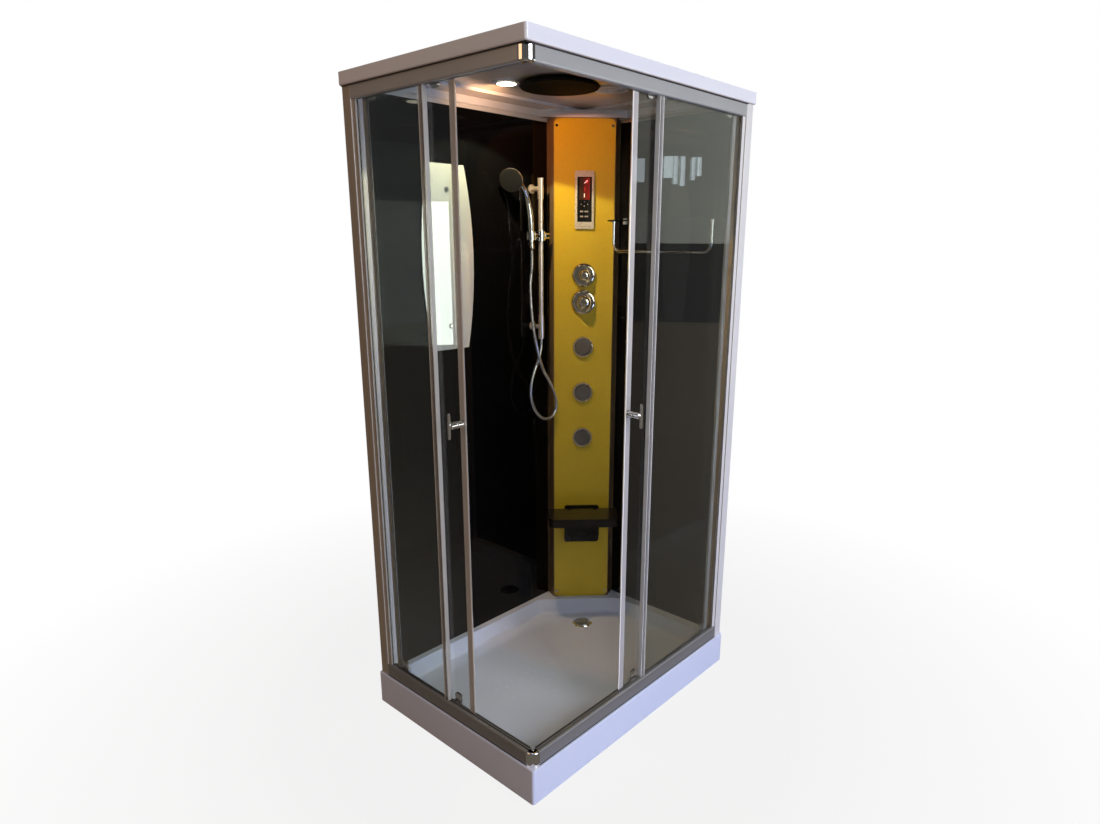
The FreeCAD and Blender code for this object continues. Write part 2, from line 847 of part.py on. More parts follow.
def carrier_pins(s, axle_z, way):
    z = axle_z + way * carrier_boss_drop
    return [(s - carrier_boss_spacing / 2, z), (s + carrier_boss_spacing / 2, z)]


def make_carrier(side, s, axle_z, way):
    z0, z1 = sorted((axle_z - way * carrier_past_axle, axle_z + way * carrier_reach))

    def plate(u0, u1):
        body = side_block(side, s - carrier_width / 2, s + carrier_width / 2, u0, u1, z0, z1)
        return rounded(body, carrier_round, lambda edge: abs(edge.Length - (u1 - u0)) < touch_gap / 2)

    back = door_back_u + carrier_plate
    wheel_front = wheel_u - wheel_width / 2
    wheel_back = wheel_u + wheel_width / 2
    shapes = [plate(door_back_u, back), plate(door_u - carrier_outer_plate, door_u),
              rod(spot(side, s, back, axle_z), spot(side, s, wheel_back + touch_gap + axle_head, axle_z), axle_radius),
              rod(spot(side, s, back, axle_z), spot(side, s, wheel_front - touch_gap, axle_z), axle_head_radius),
              rod(spot(side, s, wheel_back + touch_gap, axle_z),
                  spot(side, s, wheel_back + touch_gap + axle_head, axle_z), axle_head_radius)]
    for pin_s, pin_z in carrier_pins(s, axle_z, way):
        shapes.append(rod(spot(side, pin_s, door_u, pin_z), spot(side, pin_s, back, pin_z), carrier_pin_radius))
        shapes.append(rod(spot(side, pin_s, back, pin_z), spot(side, pin_s, back + carrier_boss_height, pin_z),
                          carrier_boss_radius))
    return fused(shapes)


def make_wheel(side, s, axle_z):
    bore = axle_radius + axle_clearance
    half = wheel_width / 2
    groove = lip_thickness / 2 + slide_gap
    profile = [(bore, -half), (wheel_radius, -half), (wheel_radius, -wheel_edge), (wheel_groove_radius, -groove),
               (wheel_groove_radius, groove), (wheel_radius, wheel_edge), (wheel_radius, half), (bore, half)]
    center = spot(side, s, wheel_u, axle_z)
    return turned(profile, center, spot(side, s, wheel_u + wheel_width, axle_z) - center)


def make_door_profiles(side):
    s0, u0, u1 = tip[side], profile_u, profile_u + profile_depth
    z0, z1 = bottom_rail_top + profile_rail_gap, top_rail_bottom - profile_rail_gap
    seal_end = s0 + seal_width
    width_end = s0 + profile_width
    seal = side_plan(side, [(s0, u0), (s0 + profile_depth, u1), (seal_end + profile_depth, u1), (seal_end, u0)], z0, z1)
    lead = side_plan(side, [(seal_end, u0), (seal_end + profile_depth, u1), (width_end, u1), (width_end, u0)], z0, z1)
    slot_gap = pane_groove_gap / 2
    slot = side_block(side, width_end - groove_depth, width_end + overrun, door_u - slot_gap, door_back_u + slot_gap,
                      z0 - overrun, z1 + overrun)
    stud = rod(spot(side, s0 + handle_offset, u0 - overrun, handle_height),
               spot(side, s0 + handle_offset, u0 + handle_stud_length + touch_gap, handle_height),
               handle_stud_radius + touch_gap)
    tail_end = s0 + door_width[side]
    tail_u = door_u - (tail_depth - glass_thickness) / 2
    tail = side_block(side, tail_end - tail_width, tail_end, tail_u, tail_u + tail_depth, z0, z1)
    tail_slot = side_block(side, tail_end - tail_width - overrun, tail_end - tail_width + groove_depth,
                           door_u - slot_gap, door_back_u + slot_gap, z0 - overrun, z1 + overrun)
    return [lead.cut(slot).cut(stud), seal, tail.cut(tail_slot)]


def make_handle(side):
    s = tip[side] + handle_offset

    def at(u):
        return spot(side, s, profile_u - u, handle_height)

    outward = at(handle_reach) - at(0)
    middle = handle_reach / 2
    profile = [(0, -handle_stud_length), (handle_stud_radius, -handle_stud_length), (handle_stud_radius, 0),
               (handle_rosette_radius, 0), (handle_rosette_radius, handle_rosette / 2),
               (handle_stem_radius, handle_rosette), (handle_stem_radius, middle - handle_groove),
               (handle_groove_radius, middle), (handle_stem_radius, middle + handle_groove),
               (handle_stem_radius, handle_reach - handle_bar_radius), (handle_bar_radius, handle_reach),
               (0, handle_reach)]
    stem = turned(profile, at(0), outward)
    half = handle_bar_length / 2
    center = at(handle_reach)
    bar = rod(center - UP * half, center + UP * half, handle_bar_radius)
    bar = bar.makeChamfer(handle_bar_radius / 3, [edge for edge in bar.Edges if not is_vertical(edge)])
    return fused([stem, bar])


def make_door_stops(side):
    lead = tip[side] + lead_carrier_offset - travel[side] - wheel_radius - touch_gap
    tail = tip[side] + door_width[side] - tail_carrier_offset + wheel_radius + touch_gap
    z0 = top_lip_base + top_lip_height
    u1 = rail_inner - lip_thickness
    return [side_block(side, s, s + stop_length, wheel_u - stop_inset * 3, u1, z0, z0 + stop_height)
            for s in (lead - stop_length, tail)]


# Walls, mirror, shelf and towel bar
def make_walls():
    top = frame_top - panel_top_drop
    column_y = left_wall_x - column_wall_d * math.sqrt(2) + panel_past_column
    column_x = back_wall_y + column_wall_d * math.sqrt(2) - panel_past_column
    start_y = rail_inner - half_depth
    end_x = half_width - rail_inner
    left = block(left_wall_x - panel_thickness, left_wall_x, start_y, column_y, tray_height, top)
    back = block(column_x, end_x, back_wall_y, back_wall_y + panel_thickness, tray_height, top)
    for z in clip_heights():
        left = left.cut(rod(V(left_wall_x - panel_thickness - overrun, mirror_y, z),
                            V(left_wall_x + overrun, mirror_y, z), clip_shank_radius + touch_gap))
    left = left.cut(rod(V(left_wall_x - panel_thickness - overrun, slide_bar_y, arm_heights[0]),
                        V(left_wall_x + overrun, slide_bar_y, arm_heights[0]), feed_radius + touch_gap))
    bottom = frame_top - trim_height
    trim_y = column_y - panel_past_column - column_sheet
    trim_x = column_x + panel_past_column + column_sheet
    left_trim = block(left_wall_x - panel_thickness - trim_wall, left_wall_x + trim_wall, start_y, trim_y,
                      bottom, frame_top).cut(left)
    back_trim = block(trim_x, end_x, back_wall_y - trim_wall, back_wall_y + panel_thickness + trim_wall,
                      bottom, frame_top).cut(back)
    return [left, back], [left_trim, back_trim]


def clip_heights():
    return (mirror_top - clip_inset, mirror_bottom + clip_inset)


def make_mirror():
    x = left_wall_x
    half, middle = mirror_end_width / 2, mirror_mid_width / 2
    z_middle = (mirror_bottom + mirror_top) / 2
    low_left, low_right = V(x, mirror_y - half, mirror_bottom), V(x, mirror_y + half, mirror_bottom)
    high_left, high_right = V(x, mirror_y - half, mirror_top), V(x, mirror_y + half, mirror_top)
    edges = [Part.LineSegment(low_left, low_right).toShape(),
             Part.Arc(low_right, V(x, mirror_y + middle, z_middle), high_right).toShape(),
             Part.LineSegment(high_right, high_left).toShape(),
             Part.Arc(high_left, V(x, mirror_y - middle, z_middle), low_left).toShape()]
    glass = Part.Face(Part.Wire(edges)).extrude(V(mirror_thickness, 0, 0))
    clips = []
    for z in clip_heights():
        face = V(x + mirror_thickness, mirror_y, z)
        glass = glass.cut(rod(face - V(mirror_thickness + overrun, 0, 0), face + V(overrun, 0, 0),
                              clip_shank_radius + touch_gap))
        profile = [(0, -mirror_thickness - panel_thickness), (clip_shank_radius, -mirror_thickness - panel_thickness),
                   (clip_shank_radius, 0), (clip_radius, 0), (clip_radius, clip_head / 2),
                   (clip_radius - clip_head / 2, clip_head), (0, clip_head)]
        clips.append(turned(profile, face, V(1, 0, 0)))
    return glass, clips


def make_shelf():
    top = shelf_height + shelf_thickness
    glass = block(shelf_x_low, shelf_x_high, shelf_front, back_wall_y - trim_wall, shelf_height, top)
    glass = rounded(glass, shelf_corner_radius,
                    lambda edge: is_vertical(edge) and edge.Vertexes[0].Point.y < shelf_front + touch_gap)
    clamps = [block(x - clamp_width / 2, x + clamp_width / 2, back_wall_y - clamp_depth, back_wall_y,
                    shelf_height - clamp_jaw, top + clamp_jaw).cut(glass) for x in clamp_places]
    bar_z = shelf_height - bar_drop
    pad_bottom = shelf_height - bar_pad
    bar = pipe([V(bar_x_low, bar_y, pad_bottom), V(bar_x_low, bar_y, bar_z), V(bar_x_high, bar_y, bar_z),
                V(bar_x_high, bar_y, pad_bottom)], bar_radius, bar_bend_radius)
    pads = [rod(V(x, bar_y, pad_bottom), V(x, bar_y, shelf_height), bar_pad_radius) for x in (bar_x_low, bar_x_high)]
    return glass, clamps, fused([bar] + pads)


# Slide bar, hand shower and hose
arm_heights = (slide_bar_bottom + lower_sleeve / 2, slide_bar_top - upper_sleeve / 2)
holder_center = V(slide_bar_x, slide_bar_y - holder_reach, slider_height)
head_center = holder_center + V(handset_sway, -handset_reach, handset_rise)
cone_axis = V(0, -math.sin(math.radians(cone_lean)), math.cos(math.radians(cone_lean)))


def make_slide_bar():
    def at(z):
        return V(slide_bar_x, slide_bar_y, z)
    shapes = [rod(at(slide_bar_bottom), at(slide_bar_top), slide_bar_radius),
              rod(at(slide_bar_bottom), at(slide_bar_bottom + lower_sleeve), sleeve_radius),
              rod(at(slide_bar_top - upper_sleeve), at(slide_bar_top), sleeve_radius),
              rod(at(slide_bar_bottom - bar_nut_length), at(slide_bar_bottom), hose_nut_radius)]
    for z in arm_heights:
        wall = V(left_wall_x, slide_bar_y, z)
        shapes.append(rod(wall, at(z), slide_arm_radius))
        shapes.append(rod(wall, wall + V(slide_arm_flange, 0, 0), slide_arm_flange_radius))
    return fused(shapes)


def make_slider():
    center = V(slide_bar_x, slide_bar_y, slider_height)
    half = UP * (slider_length / 2)
    arm_end = arm_face()
    knob = [(0, 0), (clamp_knob_radius - rail_wall, 0), (clamp_knob_radius - rail_wall, slider_radius),
            (clamp_knob_radius, slider_radius + slide_gap), (clamp_knob_radius, clamp_knob_reach - rail_wall),
            (clamp_knob_radius - rail_wall, clamp_knob_reach), (0, clamp_knob_reach)]
    body = fused([rod(center - half, center + half, slider_radius), rod(center, arm_end, slider_arm_radius),
                  turned(knob, center, V(0, 1, 0))])
    socket = rod(arm_end - V(0, overrun, 0), arm_end + V(0, holder_pin_length + touch_gap, 0),
                 holder_pin_radius + axle_clearance)
    return body.cut(rod(center - half - UP, center + half + UP, slide_bar_radius + axle_clearance)).cut(socket)


def arm_face():
    return holder_center + V(0, holder_radius + slide_gap * 2, 0)


def cone_spot(h):
    return holder_center + cone_axis * h


def make_holder():
    half = holder_length / 2
    body = rod(cone_spot(-half), cone_spot(half), holder_radius)
    boss_end = arm_face() - V(0, touch_gap, 0)
    boss = rod(holder_center + V(0, cone_large_radius + slide_gap, 0), boss_end, slider_arm_radius)
    pin = rod(boss_end, arm_face() + V(0, holder_pin_length, 0), holder_pin_radius)
    bore = turned([(0, -half - overrun), (cone_small_radius, -half - overrun), (cone_small_radius, -half),
                   (cone_large_radius, half), (cone_large_radius, half + overrun), (0, half + overrun)],
                  holder_center, cone_axis)
    slot = block(slide_bar_x - hose_radius - slide_gap, slide_bar_x + hose_radius + slide_gap,
                 holder_center.y - holder_radius * 2, holder_center.y, slider_height - holder_length,
                 slider_height + holder_length)
    return fused([body, boss, pin]).cut(bore).cut(slot)


def make_hand_shower():
    half = holder_length / 2
    nut_top = -half - slide_gap * 2
    nut_bottom = nut_top - hose_nut_length - overrun * 2
    shank_top = half + overrun
    small, large = cone_small_radius - touch_gap, cone_large_radius - touch_gap
    profile = [(0, nut_bottom), (hose_nut_radius - rail_wall, nut_bottom), (hose_nut_radius, nut_bottom + rail_wall),
               (hose_nut_radius, nut_bottom + hose_nut_length), (small, nut_bottom + hose_nut_length),
               (small, -half), (large, half), (large, shank_top), (0, shank_top)]
    shank = turned(profile, holder_center, cone_axis)
    spots = [(cone_spot(shank_top), large)]
    for sway, reach, rise, width in grip_shares:
        place = V(handset_sway * sway, -handset_reach * reach, handset_rise * rise)
        spots.append((holder_center + place, grip_radius * width))
    spots.append((head_center, spots[-1][1]))
    rings = []
    for i, (place, radius) in enumerate(spots):
        before = spots[max(i - 1, 0)][0]
        after = spots[min(i + 1, len(spots) - 1)][0]
        ahead = cone_axis if i == 0 else after - before
        rings.append(Part.Wire([Part.makeCircle(radius, place, ahead)]))
    grip = Part.makeLoft(rings, True, True)
    tilt, turn = math.radians(handset_face_tilt), math.radians(handset_face_turn)
    facing = V(math.sin(turn) * math.cos(tilt), -math.cos(turn) * math.cos(tilt), -math.sin(tilt))
    back = -handset_head_depth
    face_base = -handset_face_depth
    head_profile = [(handset_head_radius * out, back * deep) for out, deep in head_shares]
    head_profile += [(handset_head_radius, face_base),
                    (handset_head_radius, face_base / 2), (handset_head_radius - rail_wall, 0),
                    (handset_face_radius, 0), (handset_face_radius, face_base), (0, face_base)]
    head = turned(head_profile, head_center, facing)
    front = rod(head_center + facing * face_base, head_center + facing * handset_head_radius, handset_head_radius)
    face = turned([(0, face_base), (handset_face_radius - touch_gap, face_base), (handset_face_radius - touch_gap, 0),
                   (handset_face_radius - rail_wall * 2, touch_gap * 2), (0, touch_gap * 2)], head_center, facing)
    return [fused([shank, grip.cut(front), head]), face]


def make_hose():
    radii = []

    def arc_radius(before, corner, after, half_turn):
        shorter = min((before - corner).Length, (after - corner).Length)
        radii.append(hose_bend_share * shorter / math.tan(half_turn))
        return radii[-1]

    path = bent_path(hose_points, arc_radius)
    print("hose arc radii from", round(min(radii)), "mm, length", round(path.Length), "mm")
    return swept(path, hose_radius)


# Column with its panel, valve, jets and seat
column_half_chord = (back_wall_y - left_wall_x) / math.sqrt(2) + column_wall_d
valve_place = column_spot(0, valve_d, 0)


def column_rod(z, h0, h1, radius):
    # h is the height over the column face
    return rod(column_spot(0, column_face_d + h0, z), column_spot(0, column_face_d + h1, z), radius)


def column_turned(z, profile):
    return turned(profile, column_spot(0, column_face_d, z), column_out)


def column_circle(z, radius, h):
    # tells the edge that runs round a turned shape at that radius and height over the column's face
    center = column_spot(0, column_face_d, z) + column_out * h
    length = 2 * math.pi * radius
    return lambda edge: abs(edge.Length - length) < touch_gap and (edge.CenterOfMass - center).Length < touch_gap


def screw_places():
    t = column_face_width / 2 - screw_inset
    z0 = tray_height + column_face_drop + screw_rise
    z1 = column_top - column_face_drop - screw_rise
    return [(x, z) for x in (-t, t) for z in (z0, z1)]


def make_column():
    half = column_face_width / 2 + column_edge
    inner = column_sheet
    chord = column_half_chord
    shell_d = column_shell_d

    def plan(points, z0, z1):
        return prism([column_spot(t, d, z0) for t, d in points], UP * (z1 - z0))

    outer = plan([(-chord, column_wall_d), (-half, shell_d), (half, shell_d), (chord, column_wall_d)],
                 tray_height, column_top)
    hollow = plan([(-chord + inner, column_wall_d - overrun), (-chord + inner, column_wall_d),
                   (-half + inner, shell_d - inner), (half - inner, shell_d - inner),
                   (chord - inner, column_wall_d), (chord - inner, column_wall_d - overrun)],
                  tray_height - overrun, column_top + overrun)
    y = left_wall_x - column_wall_d * math.sqrt(2)
    x = back_wall_y + column_wall_d * math.sqrt(2)
    left_flange = block(left_wall_x, left_wall_x + column_sheet, y - column_sheet, y + column_flange,
                        tray_height, column_top)
    back_flange = block(x - column_flange, x + column_sheet, back_wall_y - column_sheet, back_wall_y,
                        tray_height, column_top)
    shell = fused([outer.cut(hollow), left_flange, back_flange])
    t = column_face_width / 2
    face = column_block(-t, t, column_shell_d, column_face_d, tray_height + column_face_drop,
                        column_top - column_face_drop)
    depth = column_face_d - column_shell_d
    face = rounded(face, column_face_radius, lambda edge: abs(edge.Length - depth) < touch_gap / 2)
    cuts = []
    through = column_shell_d - column_face_d - column_sheet - overrun
    for z in (mixer_height, diverter_height):
        cuts.append(column_rod(z, through, overrun, rosette_bore))
    for z in jet_heights:
        cuts.append(column_rod(z, through, overrun, jet_spigot_radius + touch_gap))
    box_t = panel_width / 2 - panel_box_border + touch_gap
    cuts.append(column_block(-box_t, box_t, column_face_d + through, column_face_d + overrun,
                             panel_bottom + panel_box_border - touch_gap, panel_top - panel_box_border + touch_gap))
    screws = []
    for t, z in screw_places():
        start, end = column_spot(t, column_face_d + through, z), column_spot(t, column_face_d + overrun, z)
        cuts.append(rod(start, end, screw_shank_radius + touch_gap))
        profile = [(0, through), (screw_shank_radius, through), (screw_shank_radius, 0), (screw_radius, 0),
                   (screw_radius, screw_head / 2), (screw_radius - screw_head / 2, screw_head), (0, screw_head)]
        screws.append(turned(profile, column_spot(t, column_face_d, z), column_out))
    for cut in cuts:
        shell, face = shell.cut(cut), face.cut(cut)
    return shell, face, screws


def make_control_panel():
    half = panel_width / 2
    front = column_face_d + panel_proud
    body = column_block(-half, half, column_face_d, front, panel_bottom, panel_top)
    body = rounded(body, panel_radius, lambda edge: abs(edge.Length - panel_proud) < touch_gap / 2)
    box_t = half - panel_box_border
    box = column_block(-box_t, box_t, column_face_d - panel_box_depth, column_face_d,
                       panel_bottom + panel_box_border, panel_top - panel_box_border)
    inner = half - panel_border
    recess = screen_depth - screen_proud
    pocket = column_block(-inner, inner, front - recess, front + overrun, panel_bottom + panel_border,
                          panel_top - panel_border)
    screen = column_block(touch_gap - inner, inner - touch_gap, front - recess, front + screen_proud,
                          panel_bottom + panel_border + touch_gap, panel_top - panel_border - touch_gap)
    return fused([body, box]).cut(pocket), screen


def make_rosettes():
    seat = rosette_height - rosette_dish
    shapes = []
    for z, radius, knob in ((mixer_height, mixer_rosette_radius, mixer_knob_radius),
                            (diverter_height, diverter_rosette_radius, diverter_knob_radius)):
        dish = knob + rosette_dish
        profile = [(rosette_bore, 0), (radius, 0), (radius, rosette_height), (dish, rosette_height),
                   (dish, seat), (rosette_bore, seat)]
        shapes.append(rounded(column_turned(z, profile), rosette_height * rosette_round_share,
                              column_circle(z, radius, rosette_height)))
    soft = jet_ring_height / 2
    ring = [(jet_ring_bore, 0), (jet_ring_radius, 0), (jet_ring_radius, soft), (jet_ring_radius - soft / 2,
            jet_ring_height), (jet_ring_bore + soft / 2, jet_ring_height), (jet_ring_bore, soft)]
    return shapes + [column_turned(z, ring) for z in jet_heights]


def make_knob(z, radius):
    base = rosette_height - rosette_dish + slide_gap
    top = base + knob_length
    profile = [(0, -knob_stem_length), (knob_stem_radius, -knob_stem_length), (knob_stem_radius, 0),
               (knob_shank_radius, 0), (knob_shank_radius, base), (radius, base), (radius, top), (0, top)]
    return rounded(column_turned(z, profile), radius * knob_round_share, column_circle(z, radius, top))


def make_valve():
    bottom, top = mixer_height - valve_below, diverter_height + valve_above
    shapes = [rod(valve_place + UP * bottom, valve_place + UP * top, valve_radius)]
    front = column_shell_d - column_sheet - cartridge_gap - column_face_d
    back = valve_d - column_face_d
    bores = []
    for z in (mixer_height, diverter_height):
        shapes.append(column_rod(z, back, front, cartridge_radius))
        bores.append(column_rod(z, -knob_stem_length - touch_gap, front + overrun, knob_stem_radius + axle_clearance))

    for z in inlet_heights():
        start = valve_place + UP * z
        end = V(inlet_end_x, start.y, z)
        neck = end + V(inlet_length, 0, 0)
        shapes.append(rod(start, neck, inlet_body_radius))
        shapes.append(rod(start, end, inlet_radius))
    feed = valve_place + UP * (mixer_height + feed_offset)
    shapes.append(rod(feed, feed - V(feed_boss, 0, 0), pipe_radius))
    return fused(shapes).cut(fused(bores))


def inlet_heights():
    return (mixer_height - inlet_spread / 2, mixer_height + inlet_spread / 2)


def make_pipes():
    bottom, top = mixer_height - valve_below, diverter_height + valve_above
    riser = pipe([valve_place + UP * top, valve_place + UP * riser_height, V(0, 0, riser_height),
                  V(0, 0, neck_top)], pipe_radius, pipe_bend_radius)
    branch_end = column_face_d - jet_spigot_length
    manifold = [rod(valve_place + UP * (min(jet_heights) - pipe_radius), valve_place + UP * bottom, pipe_radius)]
    for z in jet_heights:
        manifold.append(rod(valve_place + UP * z, column_spot(0, branch_end, z), branch_radius))
    feed = valve_place + UP * (mixer_height + feed_offset) - V(feed_boss, 0, 0)
    feed_x = left_wall_x - panel_thickness - feed_behind_panel
    corner = V(feed_x, feed.y, feed.z)
    drop = V(feed_x, slide_bar_y, feed.z)
    low = V(feed_x, slide_bar_y, arm_heights[0])
    feed_pipe = pipe([feed, corner, drop, low, V(left_wall_x, slide_bar_y, arm_heights[0])],
                     feed_radius, feed_bend_radius)
    return [riser, fused(manifold), feed_pipe]


def make_jet_faces():
    radius = jet_ring_bore - touch_gap
    faces = []
    for z in jet_heights:
        profile = [(0, -jet_spigot_length), (jet_spigot_radius, -jet_spigot_length), (jet_spigot_radius, 0),
                   (radius, 0), (radius, jet_face_height - rail_wall), (radius - rail_wall, jet_face_height),
                   (0, jet_face_height)]
        shapes = [column_turned(z, profile)]
        for i in range(jet_nozzle_count):
            angle = 2 * math.pi * i / jet_nozzle_count
            t, up = jet_nozzle_circle * math.cos(angle), jet_nozzle_circle * math.sin(angle)
            base = column_face_d + jet_face_height
            shapes.append(rod(column_spot(t, base, z + up), column_spot(t, base + jet_nozzle_height, z + up),
                              jet_nozzle_radius))
        faces.append(fused(shapes))
    return faces


def make_seat():
    radius = seat_thickness / 2
    hinge_z = seat_top - radius
    half = seat_width / 2
    front = seat_hinge_d - radius + seat_depth
    pan = column_block(-half, half, seat_hinge_d, front, seat_top - seat_thickness, seat_top)
    tip_d = column_spot(0, front, 0)

    def is_front_corner(edge):
        reach = (edge.Vertexes[0].Point - tip_d).dot(column_out)
        return is_vertical(edge) and abs(reach) < touch_gap

    pan = rounded(pan, seat_corner_radius, is_front_corner)
    roll = rod(column_spot(-half, seat_hinge_d, hinge_z), column_spot(half, seat_hinge_d, hinge_z), radius)
    pan = fused([pan, roll])
    for t in (-seat_ear_t, seat_ear_t):
        width = seat_ear_width / 2 + seat_notch_gap
        pan = pan.cut(column_block(t - width, t + width, seat_hinge_d - radius - overrun,
                                   seat_hinge_d + seat_ear_round + seat_notch_gap, seat_top - seat_thickness - overrun,
                                   seat_top + overrun))
    pin_half = bracket_width / 2
    pan = pan.cut(rod(column_spot(-pin_half - touch_gap, seat_hinge_d, hinge_z),
                      column_spot(pin_half + touch_gap, seat_hinge_d, hinge_z), seat_pin_radius + axle_clearance))
    plate_d = column_face_d + bracket_plate
    plate = column_block(-pin_half, pin_half, column_face_d, plate_d, bracket_bottom, bracket_top)
    plate = rounded(plate, bracket_round, lambda edge: abs(edge.Length - bracket_plate) < touch_gap / 2)
    box_top = hinge_z - radius - touch_gap
    box_front = column_face_d + bracket_box_depth
    box = column_block(-pin_half, pin_half, column_face_d, box_front, bracket_bottom + bracket_round * 3, box_top)
    box = rounded(box, bracket_round, lambda edge: is_vertical(edge) and (edge.Vertexes[0].Point
                  - column_spot(0, box_front, 0)).dot(column_out) > -touch_gap)
    shapes = [plate, box, rod(column_spot(-pin_half, seat_hinge_d, hinge_z), column_spot(pin_half, seat_hinge_d,
              hinge_z), seat_pin_radius)]
    for t in (-seat_ear_t, seat_ear_t):
        t0, t1 = t - seat_ear_width / 2, t + seat_ear_width / 2
        shapes.append(column_block(t0, t1, column_face_d, seat_hinge_d, hinge_z - seat_ear_round,
                                   hinge_z + seat_ear_round))
        shapes.append(rod(column_spot(t0, seat_hinge_d, hinge_z), column_spot(t1, seat_hinge_d, hinge_z),
                          seat_ear_round))
    return fused(shapes), pan


# Roof and ceiling
inlet_end_x = inlet_side_gap - half_width
neck_top = roof_top + plateau_rise + rain_nut_height


def make_roof():
    shell = rounded_box(-half_width, half_width, -half_depth, half_depth, roof_bottom, roof_top, roof_corner_radius)
    shell = rounded(shell, roof_edge_radius, lambda edge: is_at_height(edge, roof_bottom))
    inside = block(roof_wall - half_width, half_width - roof_wall, roof_wall - half_depth, half_depth - roof_wall,
                   roof_bottom - overrun, roof_under)
    x, y = half_width - plateau_inset, half_depth - plateau_inset
    top = roof_top + plateau_rise
    plateau = rounded_box(-x, x, -y, y, roof_under, top, roof_corner_radius)
    plateau = rounded(plateau, roof_edge_radius, lambda edge: is_at_height(edge, top))
    wall = roof_plate
    plateau_inside = block(wall - x, x - wall, wall - y, y - wall, roof_bottom, ceiling)
    shell = fused([shell.cut(inside), plateau]).cut(plateau_inside)
    back_cut = block(-half_width - overrun, half_width - roof_wall, half_depth - roof_wall - overrun / 2,
                     half_depth + overrun, roof_bottom - overrun, frame_top)
    x0, x1, y0, y1 = skirt_box()
    skirt = block(x0, x1, y0, y1, roof_skirt_bottom, roof_under)
    skirt = skirt.cut(block(x0 + roof_skirt, x1 - roof_skirt, y0 + roof_skirt, y1 - roof_skirt,
                            roof_skirt_bottom - overrun, roof_under + overrun))
    box_bottom = column_top + ceiling_box_gap
    box_outer = corner_prism(x0, y1, column_face_d, box_bottom, roof_under)
    box_inner = corner_prism(x0 + roof_skirt, y1 - roof_skirt, column_face_d - roof_skirt, box_bottom + roof_skirt,
                             roof_under)
    shell = fused([shell.cut(back_cut), skirt, box_outer.cut(box_inner)])
    for place, radius in ((V(0, 0, 0), rain_neck_radius), (V(light_x, light_y, 0), light_radius),
                          (V(fan_x, fan_y, 0), fan_hole_radius), (valve_place, pipe_radius)):
        shell = shell.cut(rod(place + UP * (box_bottom - overrun), place + UP * (top + overrun), radius + touch_gap))
    return shell


def skirt_box():
    x0 = roof_bar_x0() + roof_bar + roof_skirt_gap
    x1 = half_width - roof_bar_inset - roof_bar - roof_skirt_gap
    y0 = roof_bar_inset + roof_bar + roof_skirt_gap - half_depth
    y1 = half_depth - roof_wall - roof_bar - roof_skirt_gap
    return x0, x1, y0, y1


def corner_prism(x, y, d, z0, z1):
    corners = [V(x, y, z0), V(x, x - d * math.sqrt(2), z0), V(y + d * math.sqrt(2), y, z0)]
    return prism(corners, UP * (z1 - z0))


def roof_bar_x0():
    return left_wall_x - (panel_thickness + roof_bar) / 2


def make_roof_frame():
    x0 = roof_bar_x0()
    x1 = half_width - roof_bar_inset
    y0 = roof_bar_inset - half_depth
    y1 = half_depth - roof_wall
    spans = [(x0, x1, y0, y0 + roof_bar), (x0, x1, y1 - roof_bar, y1),
             (x0, x0 + roof_bar, y0 + roof_bar, y1 - roof_bar), (x1 - roof_bar, x1, y0 + roof_bar, y1 - roof_bar)]
    bars = []
    for a0, a1, b0, b1 in spans:
        wall = roof_bar_wall
        bar = block(a0, a1, b0, b1, frame_top, roof_under)
        if a1 - a0 > b1 - b0:
            bore = block(a0 - overrun, a1 + overrun, b0 + wall, b1 - wall, frame_top + wall, roof_under - wall)
        else:
            bore = block(a0 + wall, a1 - wall, b0 - overrun, b1 + overrun, frame_top + wall, roof_under - wall)
        bars.append(bar.cut(bore))
    return bars


def make_rain_head():
    disc_top = ceiling - rain_head_drop
    disc_bottom = disc_top - rain_head_height
    roof_face = roof_top + plateau_rise
    soft = rain_head_height / 2
    profile = [(0, disc_bottom), (rain_head_radius - soft, disc_bottom), (rain_head_radius, disc_bottom + soft),
               (rain_head_radius - soft, disc_top), (rain_neck_radius, disc_top), (rain_neck_radius, roof_face),
               (rain_nut_radius, roof_face), (rain_nut_radius, neck_top), (0, neck_top)]
    return turned(profile, V(0, 0, 0), UP)


def make_light():
    axis = V(light_x, light_y, 0)
    top = ceiling + light_depth
    rim = ceiling - light_ring / 2
    inner = light_radius - light_wall
    can = turned([(0, top), (0, top - light_wall), (inner, top - light_wall), (inner, rim),
                  (light_radius + light_ring, rim), (light_radius + light_ring, ceiling), (light_radius, ceiling),
                  (light_radius, top)], axis, UP)
    lens = turned([(0, rim - light_lens_drop), (inner - light_ring, rim - light_lens_drop),
                   (inner - touch_gap, rim), (inner - touch_gap, ceiling), (0, ceiling)], axis, UP)
    return [can, lens]


